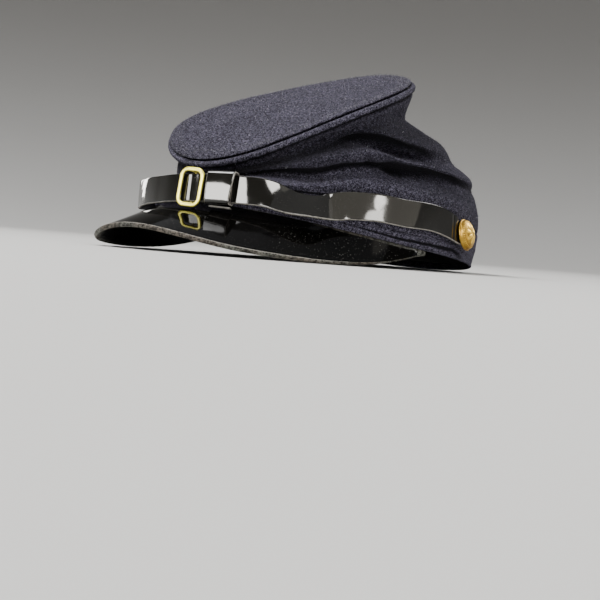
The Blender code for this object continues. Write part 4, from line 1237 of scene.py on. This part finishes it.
def add_peak():
    """Top face, lip and cut edge, and the plain under face, as one closed cross-section."""
    angle = np.linspace(-PEAK_END_ANGLE, PEAK_END_ANGLE, PEAK_ROUND + 1)
    share = np.linspace(0.0, 1.0, PEAK_ACROSS)
    even = peak_surface(angle, np.broadcast_to(share, (len(angle), PEAK_ACROSS)))
    normals = grid_normals(even, False)
    normals = normals * np.sign(normals[..., 2:])
    outward = unit(even[:, -1] - even[:, -2])
    lip = np.array(PEAK_LIP[1:], float)
    edge = (even[:, -1:] + lip[None, :, 0:1] * outward[:, None]
            - lip[None, :, 1:2] * normals[:, -1:])
    share = share ** PEAK_FACE_POWER * PEAK_FACE_END
    face = peak_surface(angle, np.broadcast_to(share, (len(angle), PEAK_ACROSS)))
    tuck = face[:, :1] - PEAK_TUCK * rim_normal(angle)[:, None]
    normals[:, :2] = UP
    under = face[:, ::3] - PEAK_THICKNESS * normals[:, ::3]
    grid = np.concatenate([tuck, face, edge, under[:, ::-1], tuck - PEAK_THICKNESS * UP], axis=1)
    top, count = PEAK_ACROSS + 1, under.shape[1] + 1
    cut = np.concatenate([np.zeros(top), lip[:, 2], np.zeros(count)])
    cut = np.broadcast_to(cut, grid.shape[:2]).copy()
    from_rim = peak_edge(angle)[0][:, None] * share
    bare = ramp(np.degrees(np.abs(angle)), *PEAK_BARE_FROM)[:, None]
    wear, limit = PEAK_BARE_MARK
    cut[:, 1:top] = np.clip(wear - from_rim / PEAK_BARE_WIDTH, 0, limit) * bare
    cut[:PEAK_BARE_TIP], cut[-PEAK_BARE_TIP:] = 1.0, 1.0
    light = np.concatenate([np.zeros(top), lip[:, 3], np.zeros(count)])
    light = light * ramp(np.degrees(PEAK_END_ANGLE - np.abs(angle)), *LIP_FADE)[:, None]
    back = np.concatenate([np.zeros(top + len(lip)), np.ones(count)])
    return add_piece("lacquered_peak", grid, peak_lacquer, "strip", "peak",
                     marks={"cut": cut, "lip": light, "back": back})


add_peak()

# %% [markdown]
# ## The chin strap
# Two lengths of thin patent leather run from the side buttons to the slide at the front. The
# strap stands off the band, sags and twists, and its gloss shows every turn of it. Its path is
# a table of stand-off, height and lean, and its cross-section is a slightly crowned strip whose
# long edges are cut.

# %% Path of the strap
STRAP_WIDTH = 15.4
STRAP_THICKNESS = 1.5
STRAP_END_ANGLE = 110.0
LEFT_STRAP_START = 7.2              # its hidden end, just past the slide's bar
RIGHT_STRAP_END = 19.9              # its hidden end, in the keeper
STATIONS_PER_DEGREE = 5
LAYER_SHIFT = 1.05
LAPS_FROM = (-12.0, -3.0)
LAPS_TO = (36.0, 46.0)
BAR_BULGE = 0.30
BAR_BULGE_ANGLE = 1.4
BAR_BULGE_SHIFT = 0.8               # the strap comes over the bar this many degrees early
BUCKLE_ANGLE = 6.0
STRAP_TABLE = (
    ("angle", "standoff", "height", "lean"),
    (112, 2.6, 11.6, -13),
    (105, 2.6, 14.2, -13),
    (97, 2.7, 17.2, -7),
    (88, 2.9, 18.7, -3),
    (76, 3.1, 17.4, -4),
    (66, 3.2, 17, -4),
    (60, 3.75, 15.8, -4.5),
    (56, 4.4, 14.7, -5.3),
    (53, 5.2, 13.4, -10),
    (48, 6.8, 11.2, -32),
    (40, 7.6, 11.2, -32),
    (31, 7.2, 14.2, -8),
    (22, 7.6, 14, -2),
    (6, 8.6, 12.4, 0),
    (-9, 8.3, 11, 0),
    (-20, 8.2, 10.6, 2),
    (-29, 9.2, 9.9, 4),
    (-38, 9.8, 9.7, 4),
    (-52, 6.6, 12.2, 0),
    (-68, 3.4, 15.6, -3),
    (-86, 2.9, 18.2, -3),
    (-97, 2.7, 17.2, -7),
    (-105, 2.6, 14.2, -13),
    (-112, 2.6, 11.6, -13),
)
STRAP_END_TABLE = (
    ("angle", "upper_half", "lower_half"),
    (0, STRAP_WIDTH / 2, STRAP_WIDTH / 2),
    (96, STRAP_WIDTH / 2, STRAP_WIDTH / 2),
    (99.6, 7.6, STRAP_WIDTH / 2),
    (101.2, 5.6, 7.6),
    (107, 4.6, 5.6),
    (STRAP_END_ANGLE, 3.2, 3.2),
)


def strap_path(angle):
    """Middle line, outward direction and upward direction of the strap at each angle."""
    rows = np.array(STRAP_TABLE[1:], float)[::-1]
    values = smooth_columns(np.degrees(angle), rows[:, 0], rows[:, 1:])
    off, height, lean = values[:, 0], values[:, 1], np.radians(values[:, 2])
    middle = rim_point(angle, 0.0, height) + off[:, None] * rim_normal(angle)
    along = unit(np.gradient(middle, angle, axis=0))
    out = np.cross(along, UP)
    out = unit(out * np.sign(np.sum(out * rim_normal(angle), axis=1))[:, None])
    up = unit(np.cross(out, along) * np.sign(np.cross(out, along)[:, 2:]))
    return (middle, np.cos(lean)[:, None] * out - np.sin(lean)[:, None] * up,
            np.cos(lean)[:, None] * up + np.sin(lean)[:, None] * out)


def outer_layer(degrees):
    """The right strap lies over the left one, and bulges where it crosses the bar."""
    past = degrees - BUCKLE_ANGLE + BAR_BULGE_SHIFT
    return LAYER_SHIFT * ramp(degrees, *LAPS_FROM) + BAR_BULGE * bell(past, BAR_BULGE_ANGLE)


def inner_layer(degrees):
    """The left strap lies under the right one near the slide."""
    return -LAYER_SHIFT * (1 - ramp(degrees, *LAPS_TO))


whole = np.radians(np.linspace(-STRAP_END_ANGLE, STRAP_END_ANGLE, 600))
steps = np.diff(strap_path(whole)[0], axis=0)
print("chin strap, button end to button end:",
      round(float(np.linalg.norm(steps, axis=1).sum()), 1), "mm")

# %% Strap pieces
STRAP_CROWN = 0.12                  # the lacquered face is a little fuller in its middle
STRAP_SECTION = (                   # share of the half width, share of the half thickness, marks
    ("up", "out", "cut", "lip", "back"),
    (-1, -0.6, 1, 0, 0), (-1, 0.3, 1, 0, 0), (-0.985, 0.62, 1, 1, 0),
    (-0.945, 0.95, 1, 1, 0), (-0.936, 1, 0, 0, 0), (-0.9, 1, 0, 0, 0),
    (-0.7, 1, 0, 0, 0), (-0.45, 1, 0, 0, 0), (-0.2, 1, 0, 0, 0),
    (0.2, 1, 0, 0, 0), (0.45, 1, 0, 0, 0), (0.7, 1, 0, 0, 0),
    (0.9, 1, 0, 0, 0), (0.965, 1, 0, 0, 0), (0.985, 0.85, 0.3, 0, 0),
    (1, 0.5, 1, 0, 0), (1, -0.6, 1, 0, 0), (0.97, -1, 0.2, 0, 1),
    (0.4, -1, 0, 0, 1), (-0.4, -1, 0, 0, 1), (-0.97, -1, 0.2, 0, 1),
)
STRAP_CREASES = (                   # angle at the lower and the upper edge, half width, depth
    ("low_angle", "high_angle", "half_width", "depth"),
    (-33, -25.5, 2.6, 0.4),
    (98.4, 97.4, 0.5, 0.2),
)


def strap_creases(degrees, across):
    """Bends pressed across the strap: depth * exp(-(degrees to the crease / half width) ** 2)."""
    total = 0.0
    for low, high, half_width, depth in STRAP_CREASES[1:]:
        middle = (low + high) / 2 + (high - low) / 2 * across
        total = total + depth * bell(degrees[:, None] - middle, half_width)
    return total


def add_strap(name, start, end, layer, replaced):
    """The cross-section carried along the path between two angles."""
    degrees = np.linspace(start, end, int((end - start) * STATIONS_PER_DEGREE) + 1)
    middle, out, up = strap_path(np.radians(degrees))
    middle = middle + layer(degrees)[:, None] * out
    rows = np.array(STRAP_END_TABLE[1:], float)
    upper = np.interp(np.abs(degrees), rows[:, 0], rows[:, 1])[:, None]
    lower = np.interp(np.abs(degrees), rows[:, 0], rows[:, 2])[:, None]
    section = np.array(STRAP_SECTION[1:], float)
    across = section[None, :, 0]
    height = np.where(across > 0, across * upper, across * lower)
    lift = section[None, :, 1] * STRAP_THICKNESS / 2
    lift = lift - STRAP_CROWN * across ** 2 - strap_creases(degrees, across)
    grid = (middle[:, None] + height[..., None] * up[:, None] + lift[..., None] * out[:, None])
    cut = np.broadcast_to(section[None, :, 2], grid.shape[:2]).copy()
    cut[0], cut[-1] = 1.0, 1.0
    return add_piece(name, grid, strap_lacquer, "strip", replaced, sharp=40.0,
                     marks={"cut": cut, "lip": section[None, :, 3], "back": section[None, :, 4]})


add_strap("lacquered_strap_left", LEFT_STRAP_START, STRAP_END_ANGLE, inner_layer, "strap_left")
add_strap("lacquered_strap_right", -STRAP_END_ANGLE, RIGHT_STRAP_END, outer_layer, "strap_right")

# %% [markdown]
# ## The keeper
# Beside the slide a short loop of the same leather holds both layers together. It is a flat
# tube with soft corners, open at both ends, and its cut ends show the pale leather.

# %% Keeper
KEEPER_ANGLES = (12.2, 20.6)
KEEPER_WALL = 1.3
KEEPER_ROOM = 1.6
KEEPER_CORNERS = (1.9, 0.6)
KEEPER_SWELL = 0.75                 # the face is fuller by this much in its middle
KEEPER_LEAN = 0.50                  # and leans back by this much at its top
KEEPER_FLARE = 0.5                  # the free end stands off by this much more
KEEPER_SKEW = 0.9                   # and is cut aslant by this much
KEEPER_EASE = 0.2                   # share of the wall by which its cut ends round in
KEEPER_FREE = 4.0                   # degrees over which both of these come in
KEEPER_STATIONS, LAP_STATIONS = 40, 24
LAP_ANGLES = (13.0, 20.0)
LAP_DEPTH = 4.2                     # how far the lapped end reaches from front to back
LAP_WALL = 0.9
LAP_DROP = 0.7                      # it hangs lower at its free end
LAP_OUT = 0.2
LAP_CORNER = 0.3                    # share of its wall
LAP_LIP = 0.45                      # share of its depth past which the pale lip runs


def rounded_rectangle(width, height, corner, steps, between=0):
    """Points round a rectangle whose corners are quarter circles, starting at the right."""
    turn = np.radians(90.0 * (np.arange(4)[:, None] + np.linspace(0, 1, steps + 1)[None]))
    middle_x = (width / 2 - corner) * np.array([1, -1, -1, 1])[:, None]
    middle_y = (height / 2 - corner) * np.array([1, 1, -1, -1])[:, None]
    arcs = np.stack([middle_x + corner * np.cos(turn), middle_y + corner * np.sin(turn)], axis=-1)
    share = (np.arange(between) + 1)[None, :, None] / (between + 1)
    sides = arcs[:, -1:] + (np.roll(arcs, -1, axis=0)[:, :1] - arcs[:, -1:]) * share
    return np.concatenate([arcs, sides], axis=1).reshape(-1, 2)


def add_keeper():
    """Outer and inner loops along the strap, joined at the open ends by cut edges."""
    high = STRAP_WIDTH / 2 + SEAT_GAP
    back = -LAYER_SHIFT - STRAP_THICKNESS / 2 - SEAT_GAP
    front = -back + KEEPER_ROOM
    degrees = np.linspace(*KEEPER_ANGLES, KEEPER_STATIONS)
    middle, out, up = strap_path(np.radians(degrees))
    along = np.cross(up, out)
    free_end = ramp(degrees, degrees[-1] - KEEPER_FREE, degrees[-1])[None]
    walls = []
    for grow, corner in zip((KEEPER_WALL, 0.0), KEEPER_CORNERS):
        loop = rounded_rectangle(2 * (high + grow), front - back + 2 * grow, corner,
                                 steps=8, between=12)
        share = (loop[:, 0] / (high + grow))[:, None]
        forward = np.clip(loop[:, 1] * 2 / (front - back), 0, 1)[:, None]
        swell = forward * (KEEPER_SWELL * (1 - share ** 2) - KEEPER_LEAN * share
                           + KEEPER_FLARE * free_end)
        rise = loop[:, 1][:, None] + (front + back) / 2 + swell
        aslant = KEEPER_SKEW * share * free_end
        walls.append(middle[None] + loop[:, 0][:, None, None] * up[None]
                     + rise[..., None] * out[None] + aslant[..., None] * along[None])
    outer, inner = walls
    ease = (outer - inner) * KEEPER_EASE
    outer[:, 0] -= ease[:, 0]
    outer[:, -1] -= ease[:, -1]
    grid = np.concatenate([outer, inner[:, ::-1]], axis=1)
    last = KEEPER_STATIONS - 1
    cut, lip = np.zeros((2, 2 * KEEPER_STATIONS))
    cut[[0, last, last + 1, -1]] = 1.0
    lip[[0, last]] = 1.0
    back_mark = np.repeat([0.0, 1.0], KEEPER_STATIONS)
    return add_piece("lacquered_keeper", grid, strap_lacquer, "ring", "strap_keeper",
                     marks={"cut": cut, "lip": lip, "back": back_mark},
                     sharp=40.0)


def add_keeper_lap():
    """The lapped end of the keeper under the strap: a thin leaf with a pale cut edge."""
    degrees = np.linspace(*LAP_ANGLES, LAP_STATIONS)
    middle, out, up = strap_path(np.radians(degrees))
    leaf = rounded_rectangle(LAP_DEPTH, LAP_WALL, LAP_WALL * LAP_CORNER, 3)
    share = np.linspace(0.0, 1.0, len(degrees))[:, None]
    low = -STRAP_WIDTH / 2 - SEAT_GAP - KEEPER_WALL - SEAT_GAP - LAP_WALL / 2 - LAP_DROP * share
    rise = leaf[None, :, 0] + LAP_OUT
    across = leaf[None, :, 1] + low
    grid = middle[:, None] + across[..., None] * up[:, None] + rise[..., None] * out[:, None]
    lip = np.broadcast_to(leaf[:, 0] > LAP_DEPTH * LAP_LIP, grid.shape[:2])
    return add_piece("lacquered_keeper_lap", grid, strap_lacquer, "strip", "strap_keeper",
                     marks={"cut": np.array([[1.0]]), "lip": lip})


add_keeper()
add_keeper_lap()

# %% [markdown]
# ## The brass slide
# The slide is a cast frame with round corners and softened edges, and a bar across its middle,
# sunk behind the strap. The frame is a rounded cross-section carried round a rounded rectangle,
# and the bar is a second piece that ends inside the frame.

# %% Slide
BUCKLE_WIDTH = 16.8
BUCKLE_HEIGHT = 22.0
BUCKLE_BORDER = 2.5
BUCKLE_THICKNESS = 1.7
BUCKLE_CORNER = 5.4
BUCKLE_LEAN = math.radians(5.0)
BAR_WIDTH = 2.0
FRAME_SIDES, FRAME_CORNER_STEPS = 24, 12
FRAME_POWER = 2.4
BUCKLE_BACK = LAYER_SHIFT + STRAP_THICKNESS / 2 + SEAT_GAP


def seat(points, degrees, lift, lean=0.0):
    """Points drawn along, up and out of the strap, moved to their seat on it."""
    nearby = np.radians(np.array([degrees - 1.0, degrees, degrees + 1.0]))
    middle, out, up = (values[1] for values in strap_path(nearby))
    along = np.cross(up, out)
    turned_along = math.cos(lean) * along - math.sin(lean) * up
    turned_up = math.sin(lean) * along + math.cos(lean) * up
    x, y, z = (points[..., k:k + 1] for k in range(3))
    return middle + lift * out + x * turned_along + y * turned_up + z * out


def add_slide_frame():
    """A superellipse section, |u|^2.4 + |v|^2.4 = 1, carried round the frame's middle line."""
    turn = round_angles(FRAME_SIDES)
    u, v = (np.sign(wave) * np.abs(wave) ** (2 / FRAME_POWER)
            for wave in (np.cos(turn), np.sin(turn)))
    inset = BUCKLE_BORDER / 2 * (1 - u)
    rise = BUCKLE_THICKNESS / 2 * (1 + v)
    rings = [rounded_rectangle(BUCKLE_WIDTH - 2 * step, BUCKLE_HEIGHT - 2 * step,
                               BUCKLE_CORNER - step, FRAME_CORNER_STEPS) for step in inset]
    flat = np.stack(rings, axis=1)
    points = np.stack(np.broadcast_arrays(flat[..., 0], flat[..., 1], rise[None]), axis=-1)
    worn = np.clip(0.5 + 0.5 * v + 0.2 * u, 0, 1)[None]
    return add_piece("gilt_slide_frame", seat(points, BUCKLE_ANGLE, BUCKLE_BACK, BUCKLE_LEAN),
                     slide_brass, "ring", "buckle", marks={"worn": worn})


def add_slide_bar():
    """A flat bar with arms bent forward at both ends, as a strip of six stations."""
    top = LAYER_SHIFT + BAR_BULGE - STRAP_THICKNESS / 2 - SEAT_GAP - BUCKLE_BACK
    reach = BUCKLE_HEIGHT / 2 - BUCKLE_BORDER / 2
    bend = STRAP_WIDTH / 2 + 2 * SEAT_GAP
    middle = BUCKLE_THICKNESS / 2
    front = np.array([(-reach, middle + 0.2), (-bend - 0.1, middle), (-bend + 0.1, top),
                      (bend - 0.1, top), (bend + 0.1, middle), (reach, middle + 0.2)])
    rear = np.array([(-reach, middle - 1.0), (-bend - 0.5, top - 1.4), (-bend, top - BAR_WIDTH),
                     (bend, top - BAR_WIDTH), (bend + 0.5, top - 1.4), (reach, middle - 1.0)])
    half = BAR_WIDTH / 2
    columns = [(front, -half * 0.7), (front, half * 0.7), ((front + rear) / 2, half),
               (rear, half * 0.7), (rear, -half * 0.7), ((front + rear) / 2, -half)]
    grid = np.stack([np.column_stack([np.full(6, x), line]) for line, x in columns], axis=1)
    return add_piece("gilt_slide_bar", seat(grid, BUCKLE_ANGLE, BUCKLE_BACK, BUCKLE_LEAN),
                     slide_brass, "strip", "buckle",
                     marks={"worn": np.array([[0.3]])})


add_slide_frame()
add_slide_bar()

# %% [markdown]
# ## The side buttons
# A domed brass button holds each end of the strap. A bump map could stamp it, but the stamp
# stands up by nearly half a millimetre and would vanish from the outline. So the plain rosette
# inside a beaded rim, a pattern that such buttons have, is a height over the dome, worked out
# from the radius and the angle round it.

# %% Buttons
BUTTON_ANGLE = 105.0
BUTTON_DIAMETER = 18.4
BUTTON_RISE = 5.4
BUTTON_RIM = 1.1
BUTTON_EDGE = 0.5
SHANK_DIAMETER = 3.0
ROSETTE_PETALS = 8
BEADS = 36
BUTTON_ROUND, BUTTON_RINGS = 288, 84
PETAL_END, PETAL_TAPER = 0.78, 0.74     # shares of the radius, like those below
HEART_SHARE = 0.15
BEAD_RING, GROOVE_RING = (0.89, 0.035), (0.82, 0.02)        # middle and half width
VEIN_WIDTH = 0.006
PETAL_HEIGHT, HEART_HEIGHT, BEAD_HEIGHT = 0.42, 0.5, 0.22       # in mm, like the next two
VEIN_DEPTH, GROOVE_DEPTH = 0.1, 0.1
PLAIN_WORN, RELIEF_WORN = 0.35, 1.5     # wear of the plain metal, and more for each mm of relief


def button_relief(share, spin):
    """Petals with a vein on eight rays, a round heart, and beads: a cosine round the rim."""
    ray = np.abs(np.cos(ROSETTE_PETALS / 2 * spin))
    petal = np.clip(ray - (share / PETAL_TAPER) ** 2.2 * 1.02, 0, 1) ** 0.6 * (share < PETAL_END)
    petal = petal * np.clip((share - 0.10) / 0.12, 0, 1)
    vein = bell(1 - ray, VEIN_WIDTH) * petal
    heart = np.sqrt(np.clip(1 - (share / HEART_SHARE) ** 2, 0, 1))
    beads = np.clip(np.cos(BEADS * spin), -0.4, 1) * bell(share - BEAD_RING[0], BEAD_RING[1])
    groove = bell(share - GROOVE_RING[0], GROOVE_RING[1])
    return (PETAL_HEIGHT * petal - VEIN_DEPTH * vein + HEART_HEIGHT * heart
            + BEAD_HEIGHT * beads - GROOVE_DEPTH * groove)


def add_button(name, degrees, replaced):
    """A turned profile with the relief on its dome, and the shank that goes through the strap."""
    radius = BUTTON_DIAMETER / 2
    spin = round_angles(BUTTON_ROUND)
    share = np.linspace(1.0, 0.015, BUTTON_RINGS)
    dome = BUTTON_RIM + (BUTTON_RISE - BUTTON_RIM) * np.sqrt(np.clip(1 - share ** 2, 0, 1))
    relief = button_relief(share[None], spin[:, None])
    limit = np.clip((1 - share) / 0.05, 0, 1)[None]
    upper_r = np.broadcast_to(share[None] * (radius - BUTTON_EDGE), relief.shape)
    upper_z = np.minimum(dome[None] + relief * limit, BUTTON_RISE + 0.25)
    standoff = np.interp(BUTTON_ANGLE, *np.array(STRAP_TABLE[1:3], float)[::-1, :2].T)
    shank = SHANK_DIAMETER / 2
    low = np.array([(shank * 0.1, -standoff - STRAP_THICKNESS / 2),
                    (shank, -standoff - STRAP_THICKNESS / 2), (shank, -0.1), (shank + 0.3, 0.0),
                    (radius - 2 * BUTTON_EDGE, 0.0), (radius - 0.15, 0.15), (radius, BUTTON_EDGE),
                    (radius, BUTTON_RIM * 0.8), (radius - 0.2, BUTTON_RIM)])
    ones = np.ones((len(spin), 1))
    r = np.concatenate([low[None, :, 0] * ones, upper_r], axis=1)
    z = np.concatenate([low[None, :, 1] * ones, upper_z], axis=1)
    grid = np.stack([r * np.cos(spin)[:, None], r * np.sin(spin)[:, None], z], axis=-1)
    worn = np.concatenate([PLAIN_WORN * np.ones((len(spin), len(low))),
                           np.clip(PLAIN_WORN + RELIEF_WORN * relief, 0, 1)], axis=1)
    lift = STRAP_THICKNESS / 2 + SEAT_GAP
    return add_piece(name, seat(grid, degrees, lift), button_brass, "turned", replaced,
                     marks={"worn": worn}, sharp=70.0)


add_button("gilt_button_left", BUTTON_ANGLE, "button_left")
add_button("gilt_button_right", -BUTTON_ANGLE, "button_right")
